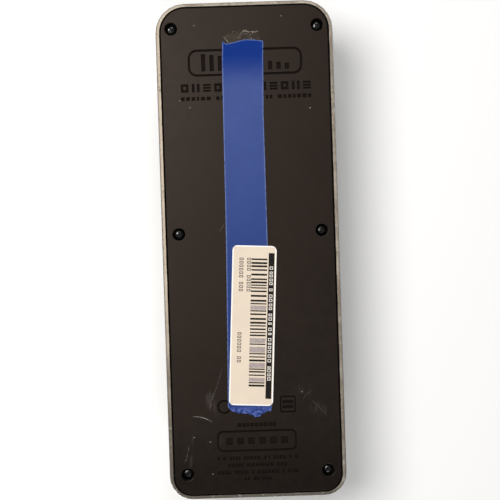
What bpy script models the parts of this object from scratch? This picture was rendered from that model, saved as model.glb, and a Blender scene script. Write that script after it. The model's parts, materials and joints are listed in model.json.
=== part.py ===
"""A band-drive volume pedal: a die-cast housing on a rubber sole, a rocking treadle, and the works inside.

Metres, +Z up, +Y towards the toe, +X to the player's right. The origin is the middle of the sole's underside.
"""

import math

import bmesh
import bpy
from mathutils import Matrix, Vector

MM = 0.001
GAP = 0.3 * MM  # between pieces that touch

# Overall shape
LENGTH = 280 * MM
WIDTH = 100 * MM
TOE_CORNER = 16.5 * MM
HEEL_CORNER = 12.5 * MM
CORNER_STEPS = 6
RIM_Z = 1.0 * MM  # the housing's lower edge hangs this far above the floor
DRAFT = math.radians(2.5)
WALL = 2.8 * MM
RIM_WALL = 2.2 * MM
EDGE_ROUND = 2.0 * MM
RIM_FLARE = EDGE_ROUND * math.tan(DRAFT)  # keeps the rounded rim as wide as WIDTH
HOUSING_HEIGHT = 62 * MM  # of the drafted block that the roof is cut from

# Rocker geometry: the roof of the housing falls both ways from a round ridge at the axle
PIVOT = Vector((0, 0, 48 * MM))
ROOF_SLOPE = math.radians(12.5)
RIDGE_RADIUS = 9.5 * MM
TREADLE_CLEARANCE = 1.0 * MM  # between the ridge and the treadle's underside

# Sole and base plate
SOLE_INSET = 2.7 * MM
SOLE_THICKNESS = 5.0 * MM
PLATE_THICKNESS = 1.5 * MM
PLATE_LOW = SOLE_THICKNESS + GAP
PLATE_TOP = PLATE_LOW + PLATE_THICKNESS
BASE_SCREWS = {
    "toe": (41.1 * MM, 125.5 * MM),
    "middle": (40.3 * MM, 10 * MM),
    "heel": (39.7 * MM, -125.5 * MM),
}
WELL_RADIUS = 3.45 * MM
PLATE_HOLE = 2.2 * MM
MARK_DEPTH = 0.5 * MM
TOE_FRAME = (0, 105.8 * MM, 64 * MM, 15.7 * MM, 5 * MM)  # centre, width, height and corner radius
HEEL_FRAME = (0, -107.4 * MM, 45 * MM, 12 * MM, 3.5 * MM)

# What is cast onto the housing's inner side
BOSS_RADIUS = 4.5 * MM
BOSS_HOLE = 2.05 * MM
BOSS_HOLE_TOP = 19 * MM
BOSS_LOW = PLATE_TOP + GAP
MIDDLE_BOSS_TOP = 24 * MM  # these two are carried by gussets from the side walls
GUSSET_TOP = 23 * MM
GUSSET_INNER_X = 40 * MM
GUSSET_HALF_Y = 2 * MM
RIB_PLACES = (-100 * MM, -70 * MM, -40 * MM, 84 * MM)
RIB_DEPTH = 8 * MM
RIB_HALF_Y = 1 * MM

# Treadle
TREADLE_HALF_X = 47 * MM
TREADLE_HALF_Y = 136 * MM
TREADLE_LOW = PIVOT.z + RIDGE_RADIUS + TREADLE_CLEARANCE
TREADLE_TOE_CORNER = 16 * MM
TREADLE_HEEL_CORNER = 12 * MM
TREADLE_FLOOR = 3.5 * MM
TREADLE_RIM = 2.6 * MM
TREADLE_TOP = TREADLE_LOW + 6.5 * MM
PAD_TOP = TREADLE_TOP + 1.8 * MM
PAD_RIB = 1.2 * MM
PAD_RIB_COUNT = 31
PAD_RIB_PITCH = 8 * MM
PAD_RIB_FOOT = 2.6 * MM  # half of a rib's width where it leaves the pad, and on its crown
PAD_RIB_CROWN = 1.6 * MM
POCKET_CENTRE = (22 * MM, 75 * MM)  # hollows in the treadle's underside
POCKET_SIZE = (36 * MM, 58 * MM, 4 * MM)  # width, length and corner radius
POCKET_DEPTH = 1.5 * MM
BUMPER_X = 30 * MM
BUMPER_Y = 118 * MM
BUMPER_HEAD = 5 * MM
BUMPER_STEM = 2.4 * MM
BUMPER_HEIGHT = 3.4 * MM
BUMPER_HOLE = 2.8 * MM

# Axle
AXLE_RADIUS = 4 * MM
CHEEK_X = 42.3 * MM  # inner face of the two cheeks that hold the axle
LUG_X = (33.5 * MM, 39 * MM)
LUG_RADIUS = 8 * MM
LUG_HALF_Y = 14 * MM  # where the lugs meet the treadle
BUSH_HOLE = 6 * MM
COLLAR_RADIUS = 7 * MM
COLLAR = 1 * MM
FRICTION_WASHER = 0.7 * MM
CHEEK_RADIUS = 9.2 * MM
AXLE_SCREW_HOLE = 2.8 * MM
AXLE_BORE = 2.4 * MM
AXLE_BORE_DEPTH = 10 * MM
AXLE_SINK_RADIUS = 6 * MM
AXLE_SINK_DEPTH = 1.6 * MM

# Band drive: a sector on the treadle rolls a pulley on the potentiometer's shaft
SECTOR_RADIUS = 50 * MM
SECTOR_MIDDLE = math.radians(-22)  # direction from the axle to the pulley
SECTOR_HALF = math.radians(14)
BAND_THICKNESS = 0.4 * MM
BAND_HALF_X = 3 * MM
PULLEY_RADIUS = 5 * MM
PULLEY_DISTANCE = SECTOR_RADIUS + PULLEY_RADIUS + 2 * BAND_THICKNESS + 3 * GAP
PULLEY = PIVOT + PULLEY_DISTANCE * Vector((0, math.cos(SECTOR_MIDDLE), math.sin(SECTOR_MIDDLE)))
SHAFT_RADIUS = 3 * MM
POT_BUSHING_RADIUS = 3.5 * MM
POT_RADIUS = 8.5 * MM
POT_LENGTH = 9 * MM
TERMINAL_PITCH = 5 * MM
BRACKET_THICKNESS = 1.5 * MM
BRACKET_X = (11.5 * MM, 13 * MM)
BRACKET_FLANGE_LOW = 36.8 * MM
BRACKET_FLANGE_TOP = BRACKET_FLANGE_LOW + BRACKET_THICKNESS
BRACKET_SCREWS = ((21.5 * MM, 43 * MM), (21.5 * MM, 62 * MM))
BRACKET_BOSS_RADIUS = 3.5 * MM
SMALL_SCREW_HOLE = 1.8 * MM
SECTOR_SCREWS = {"front": (5.2 * MM, 34 * MM), "rear": (-5.2 * MM, 18 * MM)}
SECTOR_SCREW_HOLE = 1.7 * MM
SECTOR_PAD_LOW = TREADLE_LOW - 1.5 * MM
FLANGE_HIGH = SECTOR_PAD_LOW - GAP
FLANGE_LOW = FLANGE_HIGH - 3 * MM
RIM_DEPTH = 5 * MM
RIM_HALF_X = 4 * MM
WEB_HALF_X = 1.5 * MM
WEB_MARGIN = 0.03  # radians that the web stays short of the rim's ends
CLAMP_SCREW_AT = 47.6 * MM  # from the axle
CLAMP_HOLE = 1.3 * MM
CLAMP_THICKNESS = 1.6 * MM
CLAMP_HALF_X = 3.6 * MM
GRUB_X = 6.4 * MM

# Jacks in the toe end
JACK_X = {"input": 24 * MM, "aux": 0, "output": -24 * MM}
JACK_Z = 16.8 * MM
JACK_BODY = (15 * MM, 22 * MM, 12 * MM)
PANEL_Y = 135 * MM  # outer face of the recessed jack panel
PANEL_INNER_Y = 132.2 * MM
PANEL_HALF_X = 38 * MM
RECESS_SIZE = (72 * MM, 15.4 * MM, 3 * MM)  # width, height and corner radius
BUSHING_RADIUS = 4.7 * MM
BUSHING_REACH = 3.8 * MM
SOCKET_RADIUS = 3.25 * MM
SOCKET_DEPTH = 17 * MM
JACK_WASHER_RADIUS = 7 * MM
JACK_WASHER = 0.6 * MM
JACK_NUT_RADIUS = 7.33 * MM  # to the corners of a 12.7 mm hexagon
JACK_NUT = 2 * MM
BOARD_LOW = PLATE_TOP + 2.1 * MM
BOARD_THICKNESS = 1.6 * MM
TERMINAL_LOW = 14 * MM
BOARD_HEEL_Y = 99 * MM
BOARD_HALF_X = 36 * MM
HEADER_LOW = (7 * MM, 101 * MM)
HEADER_HIGH = (17 * MM, 106.5 * MM)
HEADER_HEIGHT = 6 * MM
WIRE_RADIUS = 0.65 * MM
WIRE_Z = 9 * MM

# Deck openings
DECK_OPENING_Y = 24 * MM
SLOT_HALF_X = 11 * MM
SLOT_END_Y = 58 * MM

parts = None
cutters = None


# Scene, materials and placing


def clear_scene():
    for obj in list(bpy.data.objects):
        bpy.data.objects.remove(obj, do_unlink=True)


def new_collection(name):
    made = bpy.data.collections.new(name)
    bpy.context.scene.collection.children.link(made)
    return made


def finish(name, colour, roughness, metallic=0.0):
    """A Principled material with one colour, roughness and metallic value."""
    material = bpy.data.materials.new(name)
    material.use_nodes = True
    shader = material.node_tree.nodes["Principled BSDF"]
    shader.inputs["Base Color"].default_value = (*colour, 1)
    shader.inputs["Roughness"].default_value = roughness
    shader.inputs["Metallic"].default_value = metallic
    return material


def add_object(name, mesh, collection, material=None):
    obj = bpy.data.objects.new(name, mesh)
    collection.objects.link(obj)
    if material:
        mesh.materials.clear()
        mesh.materials.append(material)
    return obj


def mesh_of(name, bm):
    bmesh.ops.recalc_face_normals(bm, faces=bm.faces)
    mesh = bpy.data.meshes.new(name)
    bm.to_mesh(mesh)
    bm.free()
    return mesh


def piece(name, bm, material):
    """A visible part, made from a bmesh and shaded smooth between its sharp edges."""
    obj = add_object(name, mesh_of(name, bm), parts, material)
    obj.data.shade_smooth()
    obj.data.set_sharp_from_angle(angle=math.radians(35))
    return obj


def helper(name, bm):
    """A hidden solid that others are cut with or joined to."""
    obj = add_object(name, mesh_of(name, bm), cutters)
    obj.hide_render = True
    obj.display_type = "WIRE"
    return obj


def combine(obj, other, operation="DIFFERENCE"):
    step = obj.modifiers.new(operation.title(), "BOOLEAN")
    step.operation = operation
    step.solver = "EXACT"
    step.object = other


def round_edges(obj, width, segments=2, angle=40):
    bevel = obj.modifiers.new("Bevel", "BEVEL")
    bevel.width = width
    bevel.segments = segments
    bevel.limit_method = "ANGLE"
    bevel.angle_limit = math.radians(angle)


def pivot_empty(name, where):
    empty = bpy.data.objects.new(name, None)
    empty.location = where
    parts.objects.link(empty)
    return empty


def hang(empty, *objects):
    """Parents objects to an empty on their joint's axis, and leaves them where they are."""
    for obj in objects:
        obj.parent = empty
        obj.location = Vector(obj.location) - Vector(empty.location)


# Solids, each added to a bmesh


def add_box(bm, low, high):
    made = bmesh.ops.create_cube(bm, size=1)["verts"]
    size = Vector(high) - Vector(low)
    bmesh.ops.scale(bm, vec=size, verts=made)
    bmesh.ops.translate(bm, vec=(Vector(high) + Vector(low)) / 2, verts=made)


def add_rod(bm, radius, start, end, segments=24):
    """A cylinder from one point to another, with a flat of its polygon square to the axes."""
    along = Vector(end) - Vector(start)
    turn = Vector((0, 0, 1)).rotation_difference(along).to_matrix().to_4x4()
    place = Matrix.Translation((Vector(start) + Vector(end)) / 2) @ turn
    bmesh.ops.create_cone(
        bm,
        cap_ends=True,
        segments=segments,
        radius1=radius,
        radius2=radius,
        depth=along.length,
        matrix=place,
    )


def add_prism(bm, outline, low, high, axis="Z"):
    """A flat outline carried along an axis; its points are (x, y) for Z and (y, z) for X."""
    if axis == "Z":
        corners = [(a, b, low) for a, b in outline]
        along = Vector((0, 0, high - low))
    else:
        corners = [(low, a, b) for a, b in outline]
        along = Vector((high - low, 0, 0))
    face = bm.faces.new([bm.verts.new(corner) for corner in corners])
    made = bmesh.ops.extrude_face_region(bm, geom=[face])["geom"]
    moved = [item for item in made if isinstance(item, bmesh.types.BMVert)]
    bmesh.ops.translate(bm, vec=along, verts=moved)


def add_drafted(bm, lower, upper, low, high):
    """A solid between two outlines with the same number of points."""
    rings = []
    for outline, z in ((lower, low), (upper, high)):
        ring = [bm.verts.new((x, y, z)) for x, y in outline]
        bm.faces.new(ring)
        rings.append(ring)
    edges = [edge for edge in bm.edges if edge.is_boundary]
    bmesh.ops.bridge_loops(bm, edges=edges)


def rounded_outline(half_x, heel_y, toe_y, heel_radius, toe_radius, steps=CORNER_STEPS):
    """A rectangle with round corners, anticlockwise from the toe corner at +X."""
    corners = (
        (half_x - toe_radius, toe_y - toe_radius, toe_radius, 0),
        (toe_radius - half_x, toe_y - toe_radius, toe_radius, 90),
        (heel_radius - half_x, heel_y + heel_radius, heel_radius, 180),
        (half_x - heel_radius, heel_y + heel_radius, heel_radius, 270),
    )
    points = []
    for x, y, radius, start in corners:
        for i in range(steps + 1):
            angle = math.radians(start + 90 * i / steps)
            points.append((x + radius * math.cos(angle), y + radius * math.sin(angle)))
    return points


def body_outline(inset):
    """The pedal's outline, moved inwards."""
    half_y = LENGTH / 2 - inset
    return rounded_outline(
        WIDTH / 2 - inset, -half_y, half_y, HEEL_CORNER - inset, TOE_CORNER - inset
    )


def box_outline(centre_x, centre_y, width, height, radius, steps=3):
    outline = rounded_outline(width / 2, -height / 2, height / 2, radius, radius, steps)
    return [(centre_x + x, centre_y + y) for x, y in outline]


def roof_outline(drop):
    """The housing's side profile in (y, z), lowered by drop: a round ridge and two straight falls."""
    reach = LENGTH
    top = [(reach, PIVOT.z + RIDGE_RADIUS / math.cos(ROOF_SLOPE) - reach * math.tan(ROOF_SLOPE))]
    steps = 4
    for i in range(steps + 1):
        angle = math.pi / 2 - ROOF_SLOPE + 2 * ROOF_SLOPE * i / steps
        top.append((RIDGE_RADIUS * math.cos(angle), PIVOT.z + RIDGE_RADIUS * math.sin(angle)))
    top.append((-top[0][0], top[0][1]))
    lowest = -50 * MM
    return [(-reach, lowest), (reach, lowest)] + [(y, z - drop) for y, z in top]


def roof_z(y):
    return PIVOT.z + RIDGE_RADIUS / math.cos(ROOF_SLOPE) - abs(y) * math.tan(ROOF_SLOPE)


def turned(name, profile, where, material, direction=(0, 0, 1), steps=20, ring=False):
    """A part turned about its own Z axis from (radius, height) points, outer side running down."""
    mesh = bpy.data.meshes.new(name)
    count = len(profile)
    edges = [(i, i + 1) for i in range(count - 1)]
    if ring:
        edges.append((count - 1, 0))
    mesh.from_pydata([(r, 0, z) for r, z in profile], edges, [])
    obj = add_object(name, mesh, parts, material)
    obj.location = where
    obj.rotation_mode = "QUATERNION"
    obj.rotation_quaternion = Vector((0, 0, 1)).rotation_difference(Vector(direction))
    screw = obj.modifiers.new("Turn", "SCREW")
    screw.axis = "Z"
    screw.steps = steps
    screw.render_steps = steps
    screw.use_merge_vertices = True
    screw.merge_threshold = 0.00001
    screw.use_smooth_shade = True
    return obj


def washer(name, inner, outer, thickness, where, material, direction=(1, 0, 0), steps=16):
    """A flat ring that starts at where and runs thickness along direction."""
    profile = [(inner, thickness), (outer, thickness), (outer, 0), (inner, 0)]
    return turned(name, profile, where, material, direction, steps, ring=True)


def pan_screw(name, where, direction, material, head_radius, head_height, shank_radius, shank):
    """A pan-head screw; where is the middle of the head's bearing face, direction points out of its head."""
    profile = [
        (0, head_height),
        (head_radius * 0.7, head_height),
        (head_radius, head_height * 0.55),
        (head_radius, 0),
        (shank_radius, 0),
        (shank_radius, -shank),
        (0, -shank),
    ]
    return turned(name, profile, where, material, direction, steps=12)


# The housing


def lean_at(height):
    """How far the drafted walls have moved in at a height."""
    return (height - RIM_Z) * math.tan(DRAFT) - RIM_FLARE


def add_housing_block(bm, inset):
    """The drafted block that the housing is cut from, moved inwards."""
    lower = body_outline(inset + lean_at(RIM_Z))
    add_drafted(bm, lower, body_outline(inset + lean_at(HOUSING_HEIGHT)), RIM_Z, HOUSING_HEIGHT)


def roof_block(name, drop):
    bm = bmesh.new()
    add_prism(bm, roof_outline(drop), -WIDTH, WIDTH, "X")
    return helper(name, bm)


def inner_limit(name, inset, drop):
    """A form a little inside the housing's skin, which trims what is cast onto its inner side."""
    bm = bmesh.new()
    add_housing_block(bm, inset)
    limit = helper(name, bm)
    combine(limit, roof_block(name + "_roof", drop), "INTERSECT")
    return limit


def housing_bosses():
    """Screw bosses, axle cheeks, bracket bosses, ribs and the jack panel, trimmed inside the outer skin."""
    bosses = bmesh.new()
    for place, (x, y) in BASE_SCREWS.items():
        top = MIDDLE_BOSS_TOP if place == "middle" else PIVOT.z
        for side in (1, -1):
            add_rod(bosses, BOSS_RADIUS, (side * x, y, BOSS_LOW), (side * x, y, top), 20)
    for side in (1, -1):
        inner = side * CHEEK_X
        add_rod(bosses, CHEEK_RADIUS, (inner, 0, PIVOT.z), (side * WIDTH / 2, 0, PIVOT.z), 32)
    for x, y in BRACKET_SCREWS:
        low = (x, y, BRACKET_FLANGE_TOP + GAP)
        add_rod(bosses, BRACKET_BOSS_RADIUS, low, (x, y, HOUSING_HEIGHT), 16)
    panel_low = (-PANEL_HALF_X, PANEL_INNER_Y, BOSS_LOW)
    add_box(bosses, panel_low, (PANEL_HALF_X, LENGTH / 2, PIVOT.z))
    boss_solid = helper("housing_bosses", bosses)

    ribs = bmesh.new()
    _, middle_y = BASE_SCREWS["middle"]
    for side in (1, -1):
        gusset = sorted((side * GUSSET_INNER_X, side * WIDTH / 2))
        low = (gusset[0], middle_y - GUSSET_HALF_Y, BOSS_LOW + MM)
        add_box(ribs, low, (gusset[1], middle_y + GUSSET_HALF_Y, GUSSET_TOP))
    for y in RIB_PLACES:
        deck = roof_z(y)
        low = (-WIDTH / 2, y - RIB_HALF_Y, deck - RIB_DEPTH)
        add_box(ribs, low, (WIDTH / 2, y + RIB_HALF_Y, deck))
    rib_solid = helper("housing_ribs", ribs)

    combine(boss_solid, inner_limit("boss_limit", 1.1 * MM, 1.2 * MM), "INTERSECT")
    combine(rib_solid, inner_limit("rib_limit", 1.3 * MM, 1.4 * MM), "INTERSECT")
    return boss_solid, rib_solid


def housing_openings():
    """The holes through the finished casting."""
    deck = bmesh.new()
    opening = rounded_outline(CHEEK_X, -DECK_OPENING_Y, DECK_OPENING_Y, 3 * MM, 3 * MM, 3)
    add_prism(deck, opening, 30 * MM, 70 * MM)
    yield helper("deck_opening", deck)

    slot = bmesh.new()
    slot_outline = rounded_outline(SLOT_HALF_X, 20 * MM, SLOT_END_Y, MM, 5 * MM, 3)
    add_prism(slot, slot_outline, 30 * MM, 70 * MM)
    yield helper("sector_slot", slot)

    recess = bmesh.new()
    recess_outline = box_outline(0, JACK_Z + 0.1 * MM, *RECESS_SIZE)
    add_prism(recess, recess_outline, 0, 20 * MM)
    upright = Matrix.Rotation(math.radians(90), 4, "X")
    bmesh.ops.transform(recess, matrix=upright, verts=recess.verts)
    bmesh.ops.translate(recess, vec=(0, PANEL_Y + 20 * MM, 0), verts=recess.verts)
    yield helper("jack_recess", recess)

    holes = bmesh.new()
    for x in JACK_X.values():
        start = (x, PANEL_INNER_Y - 5 * MM, JACK_Z)
        add_rod(holes, BUSHING_RADIUS + GAP, start, (x, LENGTH / 2 + 5 * MM, JACK_Z))
    for x, y in BASE_SCREWS.values():
        for side in (1, -1):
            add_rod(holes, BOSS_HOLE, (side * x, y, 0), (side * x, y, BOSS_HOLE_TOP), 14)
    for x, y in BRACKET_SCREWS:
        add_rod(holes, SMALL_SCREW_HOLE, (x, y, 30 * MM), (x, y, roof_z(y) - 1.8 * MM), 14)
    for side in (1, -1):
        inner = (side * 30 * MM, 0, PIVOT.z)
        add_rod(holes, AXLE_SCREW_HOLE, inner, (side * WIDTH * 0.6, 0, PIVOT.z), 20)
    for x, y, normal in bumper_places():
        foot = Vector((x, y, roof_z(y)))
        add_rod(holes, BUMPER_HOLE, foot - 8 * MM * normal, foot + 4 * MM * normal, 16)
    yield helper("screw_and_jack_holes", holes)

    sinks = bmesh.new()
    for side in (1, -1):
        seat = (side * axle_screw_seat(), 0, PIVOT.z)
        add_rod(sinks, AXLE_SINK_RADIUS, seat, (side * WIDTH * 0.6, 0, PIVOT.z), 24)
    yield helper("axle_screw_sinks", sinks)


def axle_screw_seat():
    """How far from the middle the axle screws' heads bear on the cheeks."""
    return WIDTH / 2 - lean_at(PIVOT.z) - AXLE_SINK_DEPTH


def make_housing(metal):
    bm = bmesh.new()
    add_housing_block(bm, 0)
    housing = piece("housing", bm, metal)
    combine(housing, roof_block("roof", 0), "INTERSECT")
    round_edges(housing, EDGE_ROUND, 2)

    cavity = bmesh.new()
    upper = body_outline(WALL + lean_at(HOUSING_HEIGHT))
    add_drafted(cavity, body_outline(RIM_WALL), upper, RIM_Z - MM, HOUSING_HEIGHT)
    hollow = helper("cavity", cavity)
    combine(hollow, roof_block("cavity_ceiling", WALL), "INTERSECT")
    combine(housing, hollow)
    for solid in housing_bosses():
        combine(housing, solid, "UNION")
    for opening in housing_openings():
        combine(housing, opening)
    return housing


# The underside


def make_base_plate(steel):
    bm = bmesh.new()
    add_prism(bm, body_outline(SOLE_INSET), PLATE_LOW, PLATE_TOP)
    plate = piece("base_plate", bm, steel)
    holes = bmesh.new()
    for x, y in BASE_SCREWS.values():
        for side in (1, -1):
            low = (side * x, y, PLATE_LOW - MM)
            add_rod(holes, PLATE_HOLE, low, (side * x, y, PLATE_TOP + MM), 10)
    combine(plate, helper("plate_holes", holes))
    return plate


def frame_cutter(name, centre_x, centre_y, width, height, radius, groove=MM):
    """A sunk groove that runs round a rectangle."""
    outer = bmesh.new()
    add_prism(outer, box_outline(centre_x, centre_y, width, height, radius), -MM, MARK_DEPTH)
    inner = bmesh.new()
    inside = box_outline(
        centre_x, centre_y, width - 2 * groove, height - 2 * groove, radius - groove
    )
    add_prism(inner, inside, -2 * MM, 2 * MARK_DEPTH)
    cutter = helper(name, outer)
    combine(cutter, helper(name + "_island", inner))
    return cutter


def mark_cutters():
    """Two plain sunk frames."""
    yield frame_cutter("toe_frame", *TOE_FRAME)
    yield frame_cutter("heel_frame", *HEEL_FRAME)


def make_sole(rubber):
    bm = bmesh.new()
    add_prism(bm, body_outline(SOLE_INSET), 0, SOLE_THICKNESS)
    sole = piece("rubber_sole", bm, rubber)
    round_edges(sole, 0.5 * MM, 1)
    wells = bmesh.new()
    for x, y in BASE_SCREWS.values():
        for side in (1, -1):
            start = (side * x, y, -MM)
            add_rod(wells, WELL_RADIUS, start, (side * x, y, SOLE_THICKNESS + MM), 20)
    combine(sole, helper("screw_wells", wells))
    for cutter in mark_cutters():
        combine(sole, cutter)
    return sole


def make_base_screws(steel):
    for place, (x, y) in BASE_SCREWS.items():
        for side, label in ((1, "right"), (-1, "left")):
            where = (side * x, y, PLATE_LOW - GAP)
            name = f"base_screw_{place}_{label}"
            pan_screw(name, where, (0, 0, -1), steel, 3 * MM, 2.2 * MM, 1.7 * MM, 12 * MM)


# Jacks and their circuit board


def make_jack(label, x, plastic, nickel):
    width, depth, height = JACK_BODY
    face_y = PANEL_INNER_Y - GAP
    bm = bmesh.new()
    low = (x - width / 2, face_y - depth, JACK_Z - height / 2)
    add_box(bm, low, (x + width / 2, face_y, JACK_Z + height / 2))
    jack = piece(f"{label}_jack", bm, plastic)
    round_edges(jack, 0.6 * MM, 1)
    bushing = bmesh.new()
    end_y = PANEL_Y + BUSHING_REACH
    add_rod(bushing, BUSHING_RADIUS, (x, face_y - 2 * MM, JACK_Z), (x, end_y, JACK_Z), 28)
    combine(jack, helper(f"{label}_bushing", bushing), "UNION")
    socket = bmesh.new()
    bottom = (x, face_y - SOCKET_DEPTH, JACK_Z)
    add_rod(socket, SOCKET_RADIUS, bottom, (x, end_y + MM, JACK_Z), 24)
    combine(jack, helper(f"{label}_socket", socket))

    out = (0, 1, 0)
    bore = BUSHING_RADIUS + GAP
    seat = (x, PANEL_Y + GAP, JACK_Z)
    name = f"{label}_jack_washer"
    washer(name, bore, JACK_WASHER_RADIUS, JACK_WASHER, seat, nickel, out)
    nut = bmesh.new()
    nut_y = PANEL_Y + 2 * GAP + JACK_WASHER
    add_rod(nut, JACK_NUT_RADIUS, (x, nut_y, JACK_Z), (x, nut_y + JACK_NUT, JACK_Z), 6)
    nut_piece = piece(f"{label}_jack_nut", nut, nickel)
    round_edges(nut_piece, 0.3 * MM, 1, 50)
    hole = bmesh.new()
    add_rod(hole, bore, (x, nut_y - MM, JACK_Z), (x, nut_y + JACK_NUT + MM, JACK_Z), 28)
    combine(nut_piece, helper(f"{label}_nut_hole", hole))


def make_circuit_board(fibreglass, white):
    top = BOARD_LOW + BOARD_THICKNESS
    bm = bmesh.new()
    low = (-BOARD_HALF_X, BOARD_HEEL_Y, BOARD_LOW)
    add_box(bm, low, (BOARD_HALF_X, PANEL_INNER_Y - 0.7 * MM, top))
    piece("circuit_board", bm, fibreglass)
    header = bmesh.new()
    add_box(header, (*HEADER_LOW, top + GAP), (*HEADER_HIGH, top + HEADER_HEIGHT))
    piece("wire_header", header, white)


# Potentiometer, bracket and wires


def make_potentiometer(steel, nickel, bracket_steel):
    face_x = BRACKET_X[1] + GAP
    bm = bmesh.new()
    end = (face_x + POT_LENGTH, PULLEY.y, PULLEY.z)
    add_rod(bm, POT_RADIUS, (face_x, PULLEY.y, PULLEY.z), end, 32)
    pot = piece("potentiometer", bm, steel)
    round_edges(pot, 0.8 * MM, 1)
    bushing = bmesh.new()
    end_x = face_x - 4.4 * MM
    start = (end_x, PULLEY.y, PULLEY.z)
    add_rod(bushing, POT_BUSHING_RADIUS, start, (face_x + MM, PULLEY.y, PULLEY.z), 20)
    combine(pot, helper("pot_bushing", bushing), "UNION")
    terminals = bmesh.new()
    for x, y in terminal_places():
        low = (x - 0.4 * MM, y - 1.1 * MM, TERMINAL_LOW)
        add_box(terminals, low, (x + 0.4 * MM, y + 1.1 * MM, PULLEY.z - 5 * MM))
    combine(pot, helper("pot_terminals", terminals), "UNION")
    shaft_hole = bmesh.new()
    start = (end_x - MM, PULLEY.y, PULLEY.z)
    add_rod(shaft_hole, SHAFT_RADIUS + GAP, start, (face_x + 3 * MM, PULLEY.y, PULLEY.z), 20)
    combine(pot, helper("pot_bore", shaft_hole))

    plate = bmesh.new()
    top = BRACKET_FLANGE_TOP
    add_box(plate, (BRACKET_X[0], 40 * MM, 17 * MM), (BRACKET_X[1], 65 * MM, top))
    bracket = piece("pot_bracket", plate, bracket_steel)
    flange = bmesh.new()
    low = (BRACKET_X[0] + 0.5 * MM, 38.5 * MM, BRACKET_FLANGE_LOW)
    add_box(flange, low, (26 * MM, 66.5 * MM, top))
    combine(bracket, helper("bracket_flange", flange), "UNION")
    holes = bmesh.new()
    bore = POT_BUSHING_RADIUS + GAP
    add_rod(holes, bore, (5 * MM, PULLEY.y, PULLEY.z), (16 * MM, PULLEY.y, PULLEY.z), 20)
    for x, y in BRACKET_SCREWS:
        low = (x, y, BRACKET_FLANGE_LOW - MM)
        add_rod(holes, SMALL_SCREW_HOLE, low, (x, y, top + MM), 14)
    combine(bracket, helper("bracket_holes", holes))
    for label, (x, y) in zip(("rear", "front"), BRACKET_SCREWS):
        where = (x, y, BRACKET_FLANGE_LOW - GAP)
        name = f"bracket_screw_{label}"
        pan_screw(name, where, (0, 0, -1), steel, 2.6 * MM, 1.8 * MM, 1.4 * MM, 5.5 * MM)

    nut = bmesh.new()
    nut_x = BRACKET_X[0] - GAP
    add_rod(nut, 5.6 * MM, (nut_x - 2 * MM, PULLEY.y, PULLEY.z), (nut_x, PULLEY.y, PULLEY.z), 6)
    nut_piece = piece("pot_nut", nut, nickel)
    hole = bmesh.new()
    start = (nut_x - 3 * MM, PULLEY.y, PULLEY.z)
    add_rod(hole, bore, start, (nut_x + MM, PULLEY.y, PULLEY.z), 20)
    combine(nut_piece, helper("pot_nut_hole", hole))


def terminal_places():
    """(x, y) of the potentiometer's three terminals."""
    x = BRACKET_X[1] + GAP + 4 * MM
    return [(x, PULLEY.y + step * TERMINAL_PITCH) for step in (-1, 0, 1)]


def make_wires(colours):
    """Three leads from the potentiometer's terminals to the header on the circuit board."""
    header_y = HEADER_LOW[1] - GAP
    header_z = BOARD_LOW + BOARD_THICKNESS + 3 * MM
    for i, ((x, y), material) in enumerate(zip(terminal_places(), colours)):
        side_lane = x + (i - 2) * 2 * MM
        lane = (9 + 3 * i) * MM
        route = [
            Vector((x, y, TERMINAL_LOW - GAP)),
            Vector((x, y, TERMINAL_LOW - 1.6 * MM)),
            Vector((side_lane, y + 3.5 * MM, WIRE_Z + 0.5 * MM)),
            Vector((side_lane, 64 * MM, WIRE_Z)),
            Vector((side_lane, 72 * MM, WIRE_Z)),
            Vector((lane, 89 * MM, WIRE_Z + 0.5 * MM)),
            Vector((lane, 96.5 * MM, header_z - 0.5 * MM)),
            Vector((lane, header_y, header_z)),
        ]
        curve = bpy.data.curves.new(f"wire_{i + 1}", "CURVE")
        curve.dimensions = "3D"
        curve.bevel_depth = WIRE_RADIUS
        curve.bevel_resolution = 2
        curve.use_fill_caps = True
        spline = curve.splines.new("POLY")
        points = smooth_route(route, 2)
        spline.points.add(len(points) - 1)
        for point, where in zip(spline.points, points):
            point.co = (*where, 1)
        obj = add_object(f"pot_wire_{i + 1}", curve, parts)
        curve.materials.append(material)
        obj.data.resolution_u = 1


def smooth_route(route, steps):
    """Points along a Catmull-Rom curve through the route."""
    ends = [2 * route[0] - route[1]] + route + [2 * route[-1] - route[-2]]
    points = []
    for a, b, c, d in zip(ends, ends[1:], ends[2:], ends[3:]):
        for i in range(steps):
            t = i / steps
            bend = (2 * a - 5 * b + 4 * c - d) * t * t + (3 * b - a - 3 * c + d) * t**3
            points.append((2 * b + (c - a) * t + bend) / 2)
    points.append(route[-1])
    return points


# Axle


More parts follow.
